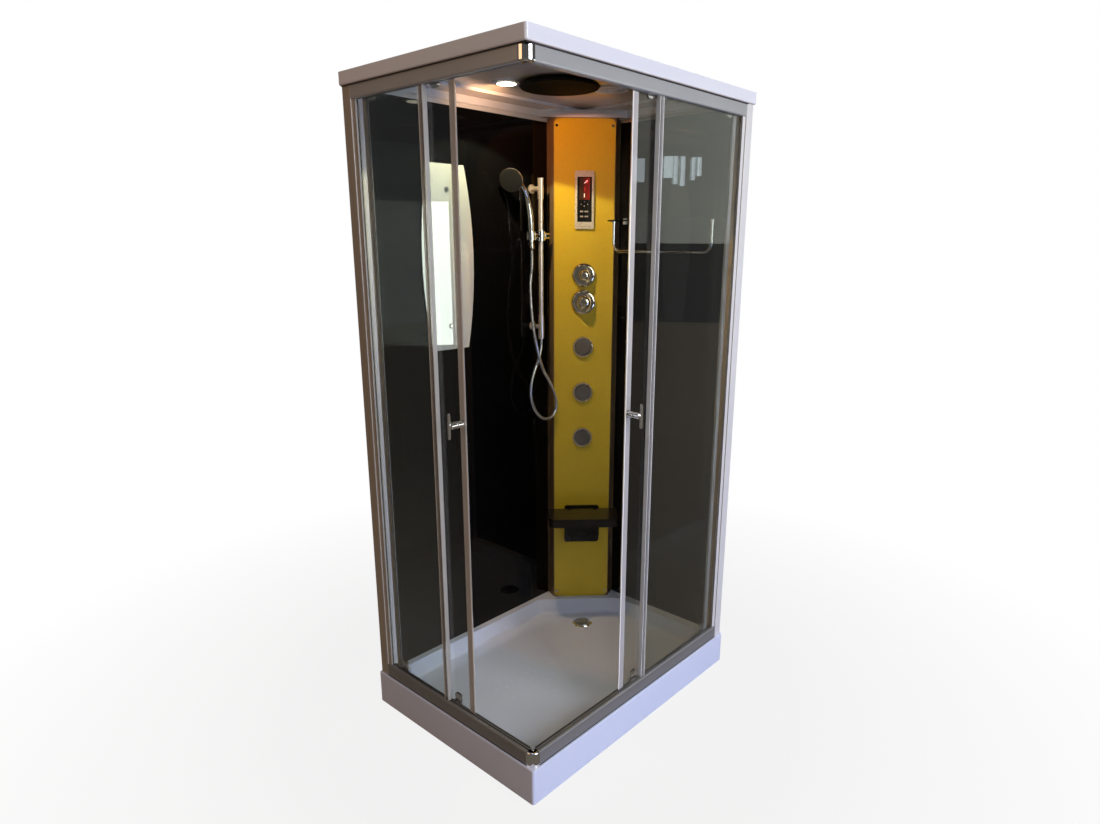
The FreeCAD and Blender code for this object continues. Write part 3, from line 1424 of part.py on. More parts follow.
def make_fan():
    axis = V(fan_x, fan_y, 0)
    roof_face = roof_top + plateau_rise
    top = roof_face + fan_box_height
    half = fan_box / 2
    inner = half - fan_wall
    box = block(fan_x - half, fan_x + half, fan_y - half, fan_y + half, roof_face, top)
    box = box.cut(block(fan_x - inner, fan_x + inner, fan_y - inner, fan_y + inner, roof_face - overrun,
                        top - fan_wall))
    outlet_z = (roof_face + top - fan_outlet_height) / 2
    box = box.cut(block(fan_x, fan_x + fan_box, fan_y - fan_outlet_width / 2, fan_y + fan_outlet_width / 2,
                        outlet_z, outlet_z + fan_outlet_height))
    flange_bottom = ceiling - fan_flange
    sleeve_bore = fan_hole_radius - fan_wall
    sleeve = turned([(sleeve_bore, flange_bottom), (fan_flange_radius, flange_bottom), (fan_flange_radius, ceiling),
                     (fan_hole_radius, ceiling), (fan_hole_radius, roof_face), (fan_box / 2, roof_face),
                     (fan_box / 2, roof_face + fan_wall), (sleeve_bore, roof_face + fan_wall)], axis, UP)
    motor_bottom = top - fan_wall - fan_motor_height
    motor = rod(axis + UP * motor_bottom, axis + UP * (top - fan_wall), fan_motor_radius)
    shapes = [box, sleeve, motor]
    for i in range(fan_grille_rings):
        radius = sleeve_bore * (i + 1) / (fan_grille_rings + 1)
        shapes.append(turned([(radius - fan_grille_bar / 2, flange_bottom), (radius + fan_grille_bar / 2,
                      flange_bottom), (radius + fan_grille_bar / 2, flange_bottom + fan_grille_bar),
                      (radius - fan_grille_bar / 2, flange_bottom + fan_grille_bar)], axis, UP))
    reach = sleeve_bore + fan_wall / 2
    bar = fan_grille_bar / 2
    shapes.append(block(fan_x - reach, fan_x + reach, fan_y - bar, fan_y + bar, flange_bottom,
                        flange_bottom + fan_grille_bar))
    shapes.append(block(fan_x - bar, fan_x + bar, fan_y - reach, fan_y + reach, flange_bottom,
                        flange_bottom + fan_grille_bar))
    shaft_bottom = roof_face + fan_wall + fan_wheel_rise
    shaft_top = top - fan_wall - fan_motor_height / 4
    bore = rod(axis + UP * (motor_bottom - overrun), axis + UP * (shaft_top + touch_gap),
               fan_shaft_radius + axle_clearance)
    housing = fused(shapes).cut(bore)
    wheel = [rod(axis + UP * shaft_bottom, axis + UP * shaft_top, fan_shaft_radius),
             rod(axis + UP * shaft_bottom, axis + UP * (shaft_bottom + fan_blade_height), fan_hub_radius)]
    for i in range(fan_blade_count):
        blade = block(fan_hub_radius / 2, fan_wheel_radius, -fan_blade_thickness / 2, fan_blade_thickness / 2,
                      -fan_blade_height / 2, fan_blade_height / 2)
        blade.rotate(V(0, 0, 0), V(1, 0, 0), fan_blade_pitch)
        blade.rotate(V(0, 0, 0), UP, 360 / fan_blade_count * i)
        blade.translate(axis + UP * (shaft_bottom + fan_blade_height / 2))
        wheel.append(blade)
    return housing, fused(wheel)


def make_power_box():
    base = roof_top + plateau_rise
    x0, x1 = box_x - box_width / 2, box_x + box_width / 2
    box = rounded_box(x0, x1, box_y - box_length / 2, box_y + box_length / 2, base, base + box_height, box_radius)
    gland_z = base + box_height / 2
    start = V(x0 + overrun, box_y, gland_z)
    end = V(x0 - gland_length, box_y, gland_z)
    gland = rod(start, end, gland_radius)
    return fused([box, gland]).cut(rod(end - V(overrun, 0, 0), start, gland_bore))


def main():
    os.makedirs("parts", exist_ok=True)
    sides = ("front", "side")
    save("tray_shell", [make_tray()])
    frame, feet = make_tray_frame()
    save("tray_frame", frame)
    save("levelling_feet", feet)
    trap, cover = make_drain()
    save("drain_trap", [trap])
    save("drain_cover", [cover])
    save("bottom_rails", [make_bottom_rail(side) for side in sides])
    save("top_rails", [make_top_rail(side) for side in sides])
    save("corner_caps", [make_corner_cap(tray_height, bottom_rail_top, bottom_rail_top),
                         make_corner_cap(top_rail_bottom, frame_top, top_rail_bottom)])
    save("wall_posts", [make_post(side) for side in sides])
    save("fixed_glass", [make_fixed_pane(side) for side in sides])
    save("fixed_edge_profiles", [make_edge_profile(side) for side in sides])
    panels, trims = make_walls()
    save("wall_panels", panels)
    save("wall_trims", trims)
    mirror, clips = make_mirror()
    shelf, clamps, bar = make_shelf()
    save("mirror_glass", [mirror])
    save("glass_clips", clips + clamps)
    save("shelf_glass", [shelf])
    save("towel_bar", [bar])
    save("slide_bar", [make_slide_bar()])
    save("slider", [make_slider()])
    save("handset_holder", [make_holder()])
    save("hand_shower", make_hand_shower())
    save("shower_hose", [make_hose()])
    shell, face, screws = make_column()
    save("column_shell", [shell])
    save("column_face", [face])
    save("panel_screws", screws)
    control, screen = make_control_panel()
    save("control_panel", [control])
    save("control_screen", [screen])
    save("valve_body", [make_valve()])
    save("column_rosettes", make_rosettes())
    save("mixer_knob", [make_knob(mixer_height, mixer_knob_radius)])
    save("diverter_knob", [make_knob(diverter_height, diverter_knob_radius)])
    save("jet_faces", make_jet_faces())
    save("water_pipes", make_pipes())
    bracket, pan = make_seat()
    save("seat_bracket", [bracket])
    save("seat_pan", [pan])
    save("roof_shell", [make_roof()])
    save("roof_frame", make_roof_frame())
    save("rain_head", [make_rain_head()])
    save("ceiling_light", make_light())
    housing, wheel = make_fan()
    save("fan_housing", [housing])
    save("fan_wheel", [wheel])
    save("power_box", [make_power_box()])
    save("door_stops", [stop for side in sides for stop in make_door_stops(side)])
    for side in sides:
        places = carrier_places(side)
        save("door_glass_" + side, [make_door_glass(side)])
        save("door_profiles_" + side, make_door_profiles(side))
        save("door_handle_" + side, [make_handle(side)])
        save("door_hangers_" + side, [make_carrier(side, *place) for place in places])
        for name, (s, axle_z, way) in zip(("top_lead", "bottom_lead", "top_tail", "bottom_tail"), places):
            save("wheel_" + name + "_" + side, [make_wheel(side, s, axle_z)])


main()
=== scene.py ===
import bpy
import bmesh
import math
from mathutils import Matrix, Vector


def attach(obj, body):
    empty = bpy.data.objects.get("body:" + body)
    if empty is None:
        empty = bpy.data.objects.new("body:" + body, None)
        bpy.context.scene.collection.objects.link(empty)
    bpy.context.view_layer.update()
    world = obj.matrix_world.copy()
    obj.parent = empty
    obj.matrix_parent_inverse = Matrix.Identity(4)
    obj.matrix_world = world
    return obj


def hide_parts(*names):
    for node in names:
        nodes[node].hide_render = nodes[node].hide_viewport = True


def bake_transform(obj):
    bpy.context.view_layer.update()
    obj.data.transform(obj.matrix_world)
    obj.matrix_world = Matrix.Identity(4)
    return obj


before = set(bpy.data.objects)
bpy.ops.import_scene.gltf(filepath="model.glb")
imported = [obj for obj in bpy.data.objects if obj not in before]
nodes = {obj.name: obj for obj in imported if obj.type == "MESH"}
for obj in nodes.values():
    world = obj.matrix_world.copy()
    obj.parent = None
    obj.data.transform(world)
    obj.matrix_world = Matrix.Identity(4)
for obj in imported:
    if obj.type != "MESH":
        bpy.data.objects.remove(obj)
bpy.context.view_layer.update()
scene = bpy.context.scene
print("frame loaded:", len(nodes), "nodes")

# camera solved from the picture's straight edges
cameraSettings = {
    "place": (1.71516, -1.86843, 1.66064),
    "right": (0.74383924, 0.6683462, 0.00406577),
    "down": (0.17540706, -0.18934296, -0.96611677),
    "ahead": (-0.64493065, 0.71934873, -0.25807337),
    "sensor": 36,
    "lens": 23.892,
    "shift": (-0.01594, 0.02296),
    "nearest": 0.05,
}


def makeCamera(settings):
    camera = bpy.data.cameras.new("photoCamera")
    camera.sensor_width = settings["sensor"]
    camera.lens = settings["lens"]
    camera.shift_x, camera.shift_y = settings["shift"]
    camera.clip_start = settings["nearest"]
    view = bpy.data.objects.new("photoCamera", camera)
    scene.collection.objects.link(view)
    right, down, ahead = (Vector(settings[k]) for k in ("right", "down", "ahead"))
    turn = Matrix((right, -down, -ahead)).transposed().to_4x4()
    view.matrix_world = Matrix.Translation(settings["place"]) @ turn
    scene.camera = view


makeCamera(cameraSettings)
scene.view_settings.view_transform = "Standard"


# small helpers for node materials
def newMaterial(name):
    material = bpy.data.materials.new(name)
    material.use_nodes = True
    return material, material.node_tree, material.node_tree.nodes["Principled BSDF"]


def fill(tree, socket, value):
    # from another node's output, or with a colour or number
    if isinstance(value, bpy.types.NodeSocket):
        tree.links.new(value, socket)
    elif socket.type == "RGBA":
        socket.default_value = (*value, 1)
    else:
        socket.default_value = value


def fillAll(tree, node, inputs):
    for key, value in inputs.items():
        fill(tree, node.inputs[key], value)


def addNode(tree, kind, inputs=None, **choices):
    node = tree.nodes.new(kind)
    for key, value in choices.items():
        setattr(node, key, value)
    fillAll(tree, node, inputs or {})
    return node


def calculate(tree, operation, *values):
    return addNode(tree, "ShaderNodeMath", dict(enumerate(values)), operation=operation).outputs["Value"]


def calculateVector(tree, operation, *values):
    node = addNode(tree, "ShaderNodeVectorMath", dict(enumerate(values)), operation=operation)
    return node.outputs["Value" if operation in ("DOT_PRODUCT", "LENGTH") else "Vector"]


def objectPlace(tree):
    return addNode(tree, "ShaderNodeTexCoord").outputs["Object"]


def alongObject(tree, direction, middle=0.0):
    # place along a direction at rest, from its middle
    return calculate(tree, "SUBTRACT", calculateVector(tree, "DOT_PRODUCT", objectPlace(tree), direction), middle)


def objectNoise(tree, scale, stretch=(1, 1, 1), detail=4.0):
    mapping = addNode(tree, "ShaderNodeMapping", {"Vector": objectPlace(tree), "Scale": stretch})
    inputs = {"Vector": mapping.outputs["Vector"], "Scale": scale, "Detail": detail}
    return addNode(tree, "ShaderNodeTexNoise", inputs).outputs["Fac"]


def spread(tree, source, low, high, fromLow=0.3, fromHigh=0.7):
    inputs = {"Value": source, "From Min": fromLow, "From Max": fromHigh, "To Min": low, "To Max": high}
    return addNode(tree, "ShaderNodeMapRange", inputs).outputs["Result"]


def mixColors(tree, share, low, high):
    inputs = {"Factor": share, "A": low, "B": high}
    return addNode(tree, "ShaderNodeMix", inputs, data_type="RGBA").outputs["Result"]


def mixShaders(tree, share, low, high):
    return addNode(tree, "ShaderNodeMixShader", {"Fac": share, 1: low, 2: high}).outputs["Shader"]


def softPatches(tree, shades, size):
    return mixColors(tree, spread(tree, objectNoise(tree, size), 0, 1), *shades)


def addBump(tree, shader, height, strength, depth):
    bump = addNode(tree, "ShaderNodeBump", {"Height": height, "Strength": strength, "Distance": depth})
    tree.links.new(bump.outputs["Normal"], shader.inputs["Normal"])


# plain finishes: two close colours in soft patches, a range of roughness, and a fine grain for the bump
# those with a shadedSide have painted shade: darker colours on the faces that look down the axis, such as the roof's
# underside and the posts' front faces
finishSettings = {
    # painted light: the white acrylic is tinted blue for the cool light that falls on the tray
    "trayAcrylic": {"shades": ((0.71, 0.75, 0.9), (0.74, 0.78, 0.92)), "rough": (0.14, 0.22), "coat": 0.3,
                    "grain": 30, "bump": 0.03},
    # painted shade: the roof's downward faces take the darker, warmer shadedSide colours
    "roofAcrylic": {"shades": ((0.8, 0.8, 0.84), (0.83, 0.83, 0.86)), "rough": (0.14, 0.22), "coat": 0.3,
                    "grain": 30, "bump": 0.03, "shadedSide": ((0.6, 0.5, 0.42), (0.64, 0.54, 0.46)), "axis": "Z"},
    "zincSteel": {"shades": ((0.5, 0.51, 0.53), (0.62, 0.62, 0.64)), "rough": (0.35, 0.5), "metallic": 0.9,
                  "patch": 40},
    "chrome": {"shades": ((0.82, 0.81, 0.8), (0.88, 0.87, 0.86)), "rough": (0.05, 0.11), "metallic": 1.0},
    # painted reflection: this chrome is tinted warm for the cream light it reflects
    "knobChrome": {"shades": ((0.8, 0.7, 0.52), (0.85, 0.75, 0.58)), "rough": (0.03, 0.07), "metallic": 1.0},
    "barSatin": {"shades": ((0.78, 0.72, 0.66), (0.82, 0.76, 0.7)), "rough": (0.26, 0.34), "metallic": 0.75},
    "railAluminium": {"shades": ((0.24, 0.23, 0.22), (0.28, 0.27, 0.26)), "rough": (0.26, 0.36), "metallic": 0.35,
                      "coat": 0.2, "grain": 60, "stretch": (1, 1, 30), "bump": 0.05},
    "topAluminium": {"shades": ((0.42, 0.42, 0.41), (0.46, 0.46, 0.45)), "rough": (0.28, 0.38), "metallic": 0.25,
                     "coat": 0.2, "grain": 60, "stretch": (1, 1, 30), "bump": 0.05},
    # painted shade: the posts' front faces, turned to -y, take the darker shadedSide colours
    "postAluminium": {"shades": ((0.8, 0.78, 0.75), (0.86, 0.84, 0.81)), "rough": (0.28, 0.38), "metallic": 0.2,
                      "coat": 0.2, "grain": 60, "stretch": (30, 30, 1), "bump": 0.05,
                      "shadedSide": ((0.4, 0.34, 0.27), (0.44, 0.38, 0.3)), "axis": "Y"},
    "blackGlass": {"shades": ((0.002, 0.002, 0.0025), (0.003, 0.003, 0.0035)), "rough": (0.02, 0.05), "ior": 1.35},
    "mirror": {"shades": ((0.93, 0.95, 0.95), (0.95, 0.96, 0.96)), "rough": (0.0, 0.02), "metallic": 0.6},
    "drainMetal": {"shades": ((0.42, 0.41, 0.4), (0.5, 0.49, 0.48)), "rough": (0.3, 0.42), "metallic": 0.85,
                   "grain": 90, "bump": 0.05},
    # painted shade: the column's side faces are of the same gold sheet, coloured a darker brown
    "goldSideShade": {"shades": ((0.27, 0.18, 0.09), (0.31, 0.21, 0.12)), "rough": (0.28, 0.38), "metallic": 0.5},
    "gold": {"shades": ((0.74, 0.51, 0.03), (0.77, 0.54, 0.04)), "rough": (0.26, 0.34), "metallic": 0.3,
             "coat": 0.3, "grain": 90, "stretch": (30, 30, 1), "bump": 0.03},
    "bezel": {"shades": ((0.6, 0.57, 0.5), (0.66, 0.62, 0.55)), "rough": (0.25, 0.35), "metallic": 0.3},
    "blackScreen": {"shades": ((0.006, 0.006, 0.007), (0.009, 0.009, 0.01)), "rough": (0.05, 0.1)},
    "brass": {"shades": ((0.55, 0.4, 0.18), (0.62, 0.46, 0.22)), "rough": (0.3, 0.45), "metallic": 1.0,
              "grain": 60, "bump": 0.1},
    "jetGrey": {"shades": ((0.11, 0.1, 0.09), (0.14, 0.13, 0.12)), "rough": (0.4, 0.55), "grain": 200, "bump": 0.1},
    "pipeSteel": {"shades": ((0.5, 0.5, 0.52), (0.6, 0.6, 0.62)), "rough": (0.25, 0.4), "metallic": 0.9,
                  "grain": 300, "bump": 0.2},
    "seatBlack": {"shades": ((0.012, 0.011, 0.01), (0.018, 0.016, 0.014)), "rough": (0.14, 0.24), "grain": 40,
                  "bump": 0.03},
    "darkPlate": {"shades": ((0.01, 0.009, 0.008), (0.014, 0.012, 0.01)), "rough": (0.6, 0.7), "ior": 1.12},
    "whitePlastic": {"shades": ((0.72, 0.72, 0.74), (0.76, 0.76, 0.77)), "rough": (0.25, 0.35)},
    # rubber of the door stops, also used for the painted shade strips under the roof's lip
    "rubberAndShade": {"shades": ((0.02, 0.02, 0.02), (0.03, 0.03, 0.03)), "rough": (0.6, 0.75), "grain": 300, "bump": 0.1},
}
grainSettings = {"detail": 6.0, "depth": 0.0004, "coatRough": 0.05, "shadedFacing": (-0.9, -0.4)}


def surface(name, shades, rough, metallic=0.0, grain=120.0, stretch=(1, 1, 1), bump=0.0, coat=0.0, patch=3.0, ior=1.5,
            shadedSide=None, axis="Z"):
    material, tree, shader = newMaterial(name)
    color = softPatches(tree, shades, patch)
    # painted shade: faces turned down the axis take the shadedSide colours
    if shadedSide:
        facing = addNode(tree, "ShaderNodeNewGeometry").outputs["Normal"]
        parts = addNode(tree, "ShaderNodeSeparateXYZ", {"Vector": facing})
        away = spread(tree, parts.outputs[axis], 1, 0, *grainSettings["shadedFacing"])
        color = mixColors(tree, away, color, softPatches(tree, shadedSide, patch))
    fine = objectNoise(tree, grain, stretch, grainSettings["detail"])
    fillAll(tree, shader, {"Base Color": color, "Roughness": spread(tree, fine, *rough), "Metallic": metallic,
                           "IOR": ior, "Coat Weight": coat, "Coat Roughness": grainSettings["coatRough"]})
    if bump:
        addBump(tree, shader, fine, bump, grainSettings["depth"])
    return material


# clear panes with faint streaks that run down
glassSettings = {
    "tints": {"paneGlass": (0.84, 0.87, 0.85), "shelfClear": (0.85, 0.92, 0.9)},
    "ior": 1.45, "streaks": 9.0, "stretch": (1, 1, 0.3), "rough": (0.0, 0.03), "streakRange": (0.55, 0.8),
}


def clearGlass(name, settings):
    material, tree, shader = newMaterial(name)
    streaks = objectNoise(tree, settings["streaks"], settings["stretch"])
    rough = spread(tree, streaks, *settings["rough"], *settings["streakRange"])
    fillAll(tree, shader, {"Base Color": settings["tints"][name], "Transmission Weight": 1.0, "IOR": settings["ior"],
                           "Roughness": rough})
    return material


# clear plastic profile with a white magnetic seal, whose white is partly a painted highlight along the door's edge,
# told apart by x + y at rest
sealSettings = {
    "edges": {"stripFront": ("GREATER_THAN", -0.4175), "stripSide": ("LESS_THAN", 0.2735)},
    "shades": ((0.84, 0.8, 0.76), (0.95, 0.93, 0.9)), "clear": (0.5, 0.0),
    "streaks": 60.0, "stretch": (3, 3, 0.2), "rough": (0.05, 0.1),
}


def sealStrip(name, settings):
    material, tree, shader = newMaterial(name)
    side, edge = settings["edges"][name]
    seal = calculate(tree, side, alongObject(tree, (1, 1, 0)), edge)
    streaks = objectNoise(tree, settings["streaks"], settings["stretch"])
    fillAll(tree, shader, {"Base Color": mixColors(tree, seal, *settings["shades"]),
                           "Transmission Weight": spread(tree, seal, *settings["clear"], 0.0, 1.0),
                           "Roughness": spread(tree, streaks, *settings["rough"])})
    return material


# clear profile on a fixed pane with painted highlights: its edges are lighter and less clear, one profile across x and
# one across y
edgeSettings = {
    "profiles": (((1, 0, 0), -0.0235), ((0, 1, 0), 0.0215)), "clearHalf": 0.0075, "blur": 0.001,
    "shades": ((0.82, 0.79, 0.76), (0.93, 0.9, 0.86)), "clear": (0.8, 0.25), "ior": 1.3, "rough": 0.07,
}


def edgeStrip(settings):
    material, tree, shader = newMaterial("edgeStrip")
    offsets = [calculate(tree, "ABSOLUTE", alongObject(tree, *profile)) for profile in settings["profiles"]]
    half = settings["clearHalf"]
    # painted highlight: lighter bands beyond the clear middle of the profile
    edge = spread(tree, calculate(tree, "MINIMUM", *offsets), 0, 1, half, half + settings["blur"])
    fillAll(tree, shader, {"Base Color": mixColors(tree, edge, *settings["shades"]),
                           "Transmission Weight": spread(tree, edge, *settings["clear"], 0.0, 1.0),
                           "IOR": settings["ior"], "Roughness": settings["rough"]})
    return material


# chrome hand shower with a darker nozzle plate, told apart by the place along the plate's axis at rest
headSettings = {
    "axis": (0.46359, -0.80297, -0.37461), "face": -0.91234, "blur": (-0.002, -0.0015),
    "shades": ((0.7, 0.68, 0.62), (0.01, 0.011, 0.011)), "metallic": (1.0, 0.0), "rough": (0.1, 0.35),
}


def handsetMetal(settings):
    material, tree, shader = newMaterial("handsetMetal")
    front = spread(tree, alongObject(tree, settings["axis"], settings["face"]), 0, 1, *settings["blur"])
    fillAll(tree, shader, {"Base Color": mixColors(tree, front, *settings["shades"]),
                           "Metallic": spread(tree, front, *settings["metallic"], 0.0, 1.0),
                           "Roughness": spread(tree, front, *settings["rough"], 0.0, 1.0)})
    return material


# printed and lit marks of the display, each with its colour and glow
markSettings = {
    "marks": {"displayRed": ((0.7, 0.03, 0.02), 0.4), "displayPink": ((1.0, 0.66, 0.62), 1.1),
              "displayCream": ((1.0, 0.8, 0.62), 0.8), "keyPrint": ((0.5, 0.45, 0.38), 0.12)},
    "grain": 400.0, "rough": (0.25, 0.4),
}


def glowingMark(name, settings):
    material, tree, shader = newMaterial(name)
    color, glow = settings["marks"][name]
    fine = objectNoise(tree, settings["grain"])
    fillAll(tree, shader, {"Base Color": color, "Emission Color": color, "Emission Strength": glow,
                           "Roughness": spread(tree, fine, *settings["rough"])})
    return material


# dark display window, redder to one side
windowSettings = {
    "across": (0.7071, 0.7071, 0), "middle": 0.1185, "half": 0.012,
    "shades": ((0.035, 0.016, 0.008), (0.16, 0.012, 0.008)), "glow": 0.4, "rough": 0.12,
}


def windowMaterial(settings):
    material, tree, shader = newMaterial("windowMaterial")
    across = alongObject(tree, settings["across"], settings["middle"])
    shade = mixColors(tree, spread(tree, across, 0, 1, -settings["half"], settings["half"]), *settings["shades"])
    fillAll(tree, shader, {"Base Color": shade, "Emission Color": shade, "Emission Strength": settings["glow"],
                           "Roughness": settings["rough"]})
    return material


# glowing lens inside the white ring of the ceiling light
lensSettings = {
    "center": (-0.14, -0.1, 0), "radius": 0.03, "blur": 0.002, "glow": 14.0, "color": (1.0, 0.88, 0.7),
    "ring": (0.8, 0.78, 0.75), "rough": 0.3,
}


def lampMaterial(settings):
    material, tree, shader = newMaterial("lampMaterial")
    away = calculateVector(tree, "SUBTRACT", objectPlace(tree), settings["center"])
    far = calculateVector(tree, "LENGTH", calculateVector(tree, "MULTIPLY", away, (1, 1, 0)))
    radius = settings["radius"]
    glow = spread(tree, far, settings["glow"], 0.0, radius, radius + settings["blur"])
    fillAll(tree, shader, {"Base Color": settings["ring"], "Roughness": settings["rough"],
                           "Emission Color": settings["color"], "Emission Strength": glow})
    return material


# shower hose: from the lower sleeve of the slide bar down, round a loop and up to the hand shower
hoseSettings = {
    "radius": 0.006,
    "sides": 20,
    "smoothness": 14,
    "route": (
        (-0.328, 0.250, 1.2847), (-0.328, 0.250, 1.250), (-0.325, 0.231, 1.205), (-0.323, 0.205, 1.163),
        (-0.322, 0.184, 1.117), (-0.322, 0.178, 1.064), (-0.321, 0.193, 1.012), (-0.319, 0.225, 0.970),
        (-0.317, 0.260, 0.950), (-0.314, 0.296, 0.955), (-0.311, 0.318, 0.985), (-0.308, 0.319, 1.025),
        (-0.304, 0.298, 1.068), (-0.300, 0.267, 1.112), (-0.299, 0.232, 1.158), (-0.300, 0.206, 1.219),
        (-0.304, 0.190, 1.287), (-0.310, 0.182, 1.360), (-0.317, 0.180, 1.435), (-0.323, 0.183, 1.508),
        (-0.328, 0.2016, 1.576), (-0.328, 0.1986, 1.6338),
    ),
    # name, height at which the section ends on the way up, and the bodies at its two ends
    "sections": (("showerHose", 1.03, "cabin", "cabin"), ("showerHoseRise", 1.548, "cabin", "slider"),
                 ("showerHoseSwing", 2.0, "slider", "holder")),
    # short core within the hose's end
    "tail": {"from": 1.612, "radius": 0.0057},
    # chromed steel strip, wound round the hose
    "shade": (0.62, 0.6, 0.57), "pitch": 0.0052, "rough": (0.42, 0.16),
    "groove": {"width": 0.18, "strength": 0.9, "depth": 0.0009},
}


def smoothLine(settings):
    # points along the route's NURBS spline
    curve = bpy.data.curves.new("hoseLine", "CURVE")
    curve.dimensions = "3D"
    curve.resolution_u = settings["smoothness"]
    spline = curve.splines.new("NURBS")
    spline.points.add(len(settings["route"]) - 1)
    for point, place in zip(spline.points, settings["route"]):
        point.co = (*place, 1)
    spline.order_u = 3
    spline.use_endpoint_u = True
    carrier = bpy.data.objects.new("hoseLine", curve)
    scene.collection.objects.link(carrier)
    mesh = bpy.data.meshes.new_from_object(carrier)
    line = [vertex.co.copy() for vertex in mesh.vertices]
    bpy.data.objects.remove(carrier)
    bpy.data.curves.remove(curve)
    bpy.data.meshes.remove(mesh)
    return line


def meshObject(name, mesh):
    data = bpy.data.meshes.new(name)
    mesh.to_mesh(data)
    mesh.free()
    piece = bpy.data.objects.new(name, data)
    scene.collection.objects.link(piece)
    return piece


def tubeAlong(name, line, radius, sides, run):
    # tube round the line; its UV map holds the metres along it, from run on, and the share of a turn round it
    mesh = bmesh.new()
    layer = mesh.loops.layers.uv.new("along")
    turns = [2 * math.pi * k / sides for k in range(sides)]
    side = Vector((1, 0, 0))
    rings, runs = [], []
    for i, place in enumerate(line):
        ahead = (line[min(i + 1, len(line) - 1)] - line[max(i - 1, 0)]).normalized()
        side = (side - ahead * side.dot(ahead)).normalized()
        up = ahead.cross(side)
        if i:
            run += (place - line[i - 1]).length
        runs.append(run)
        rings.append([mesh.verts.new(place + side * math.cos(t) * radius + up * math.sin(t) * radius) for t in turns])
    for i in range(len(rings) - 1):
        for k in range(sides):
            j = (k + 1) % sides
            face = mesh.faces.new((rings[i][k], rings[i][j], rings[i + 1][j], rings[i + 1][k]))
            face.smooth = True
            spots = ((runs[i], k), (runs[i], k + 1), (runs[i + 1], k + 1), (runs[i + 1], k))
            for loop, (along, turn) in zip(face.loops, spots):
                loop[layer].uv = (along, turn / sides)
    mesh.faces.new(rings[0][::-1])
    mesh.faces.new(rings[-1])
    bmesh.ops.recalc_face_normals(mesh, faces=mesh.faces)
    return meshObject(name, mesh)


def hoseMetal(settings):
    material, tree, shader = newMaterial("hoseMetal")
    place = addNode(tree, "ShaderNodeUVMap", uv_map="along").outputs["UV"]
    parts = addNode(tree, "ShaderNodeSeparateXYZ", {"Vector": place}).outputs
    wound = calculate(tree, "MULTIPLY_ADD", parts["X"], 1 / settings["pitch"], parts["Y"])
    wave = calculate(tree, "PINGPONG", wound, 0.5)
    fillAll(tree, shader, {"Base Color": settings["shade"], "Metallic": 1.0,
                           "Roughness": spread(tree, wave, *settings["rough"], 0.0, 0.5)})
    groove = settings["groove"]
    addBump(tree, shader, spread(tree, wave, 0, 1, 0.0, groove["width"]), groove["strength"], groove["depth"])
    return material


def makeTail(settings, line, metal):
    low = max(i for i in range(len(line)) if line[i].z < settings["tail"]["from"])
    tail = tubeAlong("hoseTail", line[low:], settings["tail"]["radius"], settings["sides"], 0.0)
    tail.data.materials.append(metal)
    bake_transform(tail)
    return tail


def makeHose(settings):
    # one route in sections, each across one joint at most; a section with one body at both ends rides on it, the others
    # stay in place
    line = smoothLine(settings)
    metal = hoseMetal(settings)
    tail = makeTail(settings, line, metal)
    first, length = 0, 0.0
    for name, top, lowBody, highBody in settings["sections"]:
        last = max(i for i in range(len(line)) if line[i].z <= top or i <= first)
        part = line[first:last + 1]
        hose = tubeAlong(name, part, settings["radius"], settings["sides"], length)
        hose.data.materials.append(metal)
        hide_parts("shower_hose")
        run = sum((b - a).length for a, b in zip(part, part[1:]))
        if lowBody == highBody:
            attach(hose, lowBody)
        else:
            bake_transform(hose)
        first, length = last, length + run
    print("hose made, length", round(length, 3))


makeHose(hoseSettings)

materials = {name: surface(name, **finish) for name, finish in finishSettings.items()}
materials.update({name: clearGlass(name, glassSettings) for name in glassSettings["tints"]})
materials.update({name: sealStrip(name, sealSettings) for name in sealSettings["edges"]})
materials.update({name: glowingMark(name, markSettings) for name in markSettings["marks"]})
materials["edgeStrip"] = edgeStrip(edgeSettings)
materials["handsetMetal"] = handsetMetal(headSettings)
materials["window"] = windowMaterial(windowSettings)
materials["lamp"] = lampMaterial(lensSettings)

# finish of each CAD node; those not named here, such as the wheels, are white plastic
finishNodes = {
    "trayAcrylic": ("tray_shell",),
    "roofAcrylic": ("roof_shell",),
    "zincSteel": ("tray_frame", "levelling_feet"),
    "chrome": ("drain_trap", "corner_caps", "glass_clips", "towel_bar", "slider", "handset_holder", "panel_screws",
               "door_handle_front", "door_handle_side", "door_hangers_front", "door_hangers_side"),
    "knobChrome": ("column_rosettes", "mixer_knob", "diverter_knob"),
    "handsetMetal": ("hand_shower",),
    "barSatin": ("slide_bar",),
    "drainMetal": ("drain_cover",),
    "railAluminium": ("bottom_rails",),
    "topAluminium": ("top_rails",),
    "postAluminium": ("wall_posts", "wall_trims", "roof_frame"),
    "edgeStrip": ("fixed_edge_profiles",),
    "stripFront": ("door_profiles_front",),
    "stripSide": ("door_profiles_side",),
    "paneGlass": ("fixed_glass", "door_glass_front", "door_glass_side"),
    "shelfClear": ("shelf_glass",),
    "blackGlass": ("wall_panels",),
    "mirror": ("mirror_glass",),
    "pipeSteel": ("shower_hose", "water_pipes"),
    "goldSideShade": ("column_shell",),
    "gold": ("column_face",),
    "bezel": ("control_panel",),
    "blackScreen": ("control_screen",),
    "brass": ("valve_body",),
    "jetGrey": ("jet_faces",),
    "seatBlack": ("seat_bracket", "seat_pan"),
    "darkPlate": ("rain_head", "fan_wheel"),
    "lamp": ("ceiling_light",),
    "rubberAndShade": ("door_stops",),
}


def dressNodes(finishes):
    nodeFinish = {name: finish for finish, names in finishes.items() for name in names}
    for name, node in nodes.items():
        node.data.materials.clear()
        node.data.materials.append(materials[nodeFinish.get(name, "whitePlastic")])


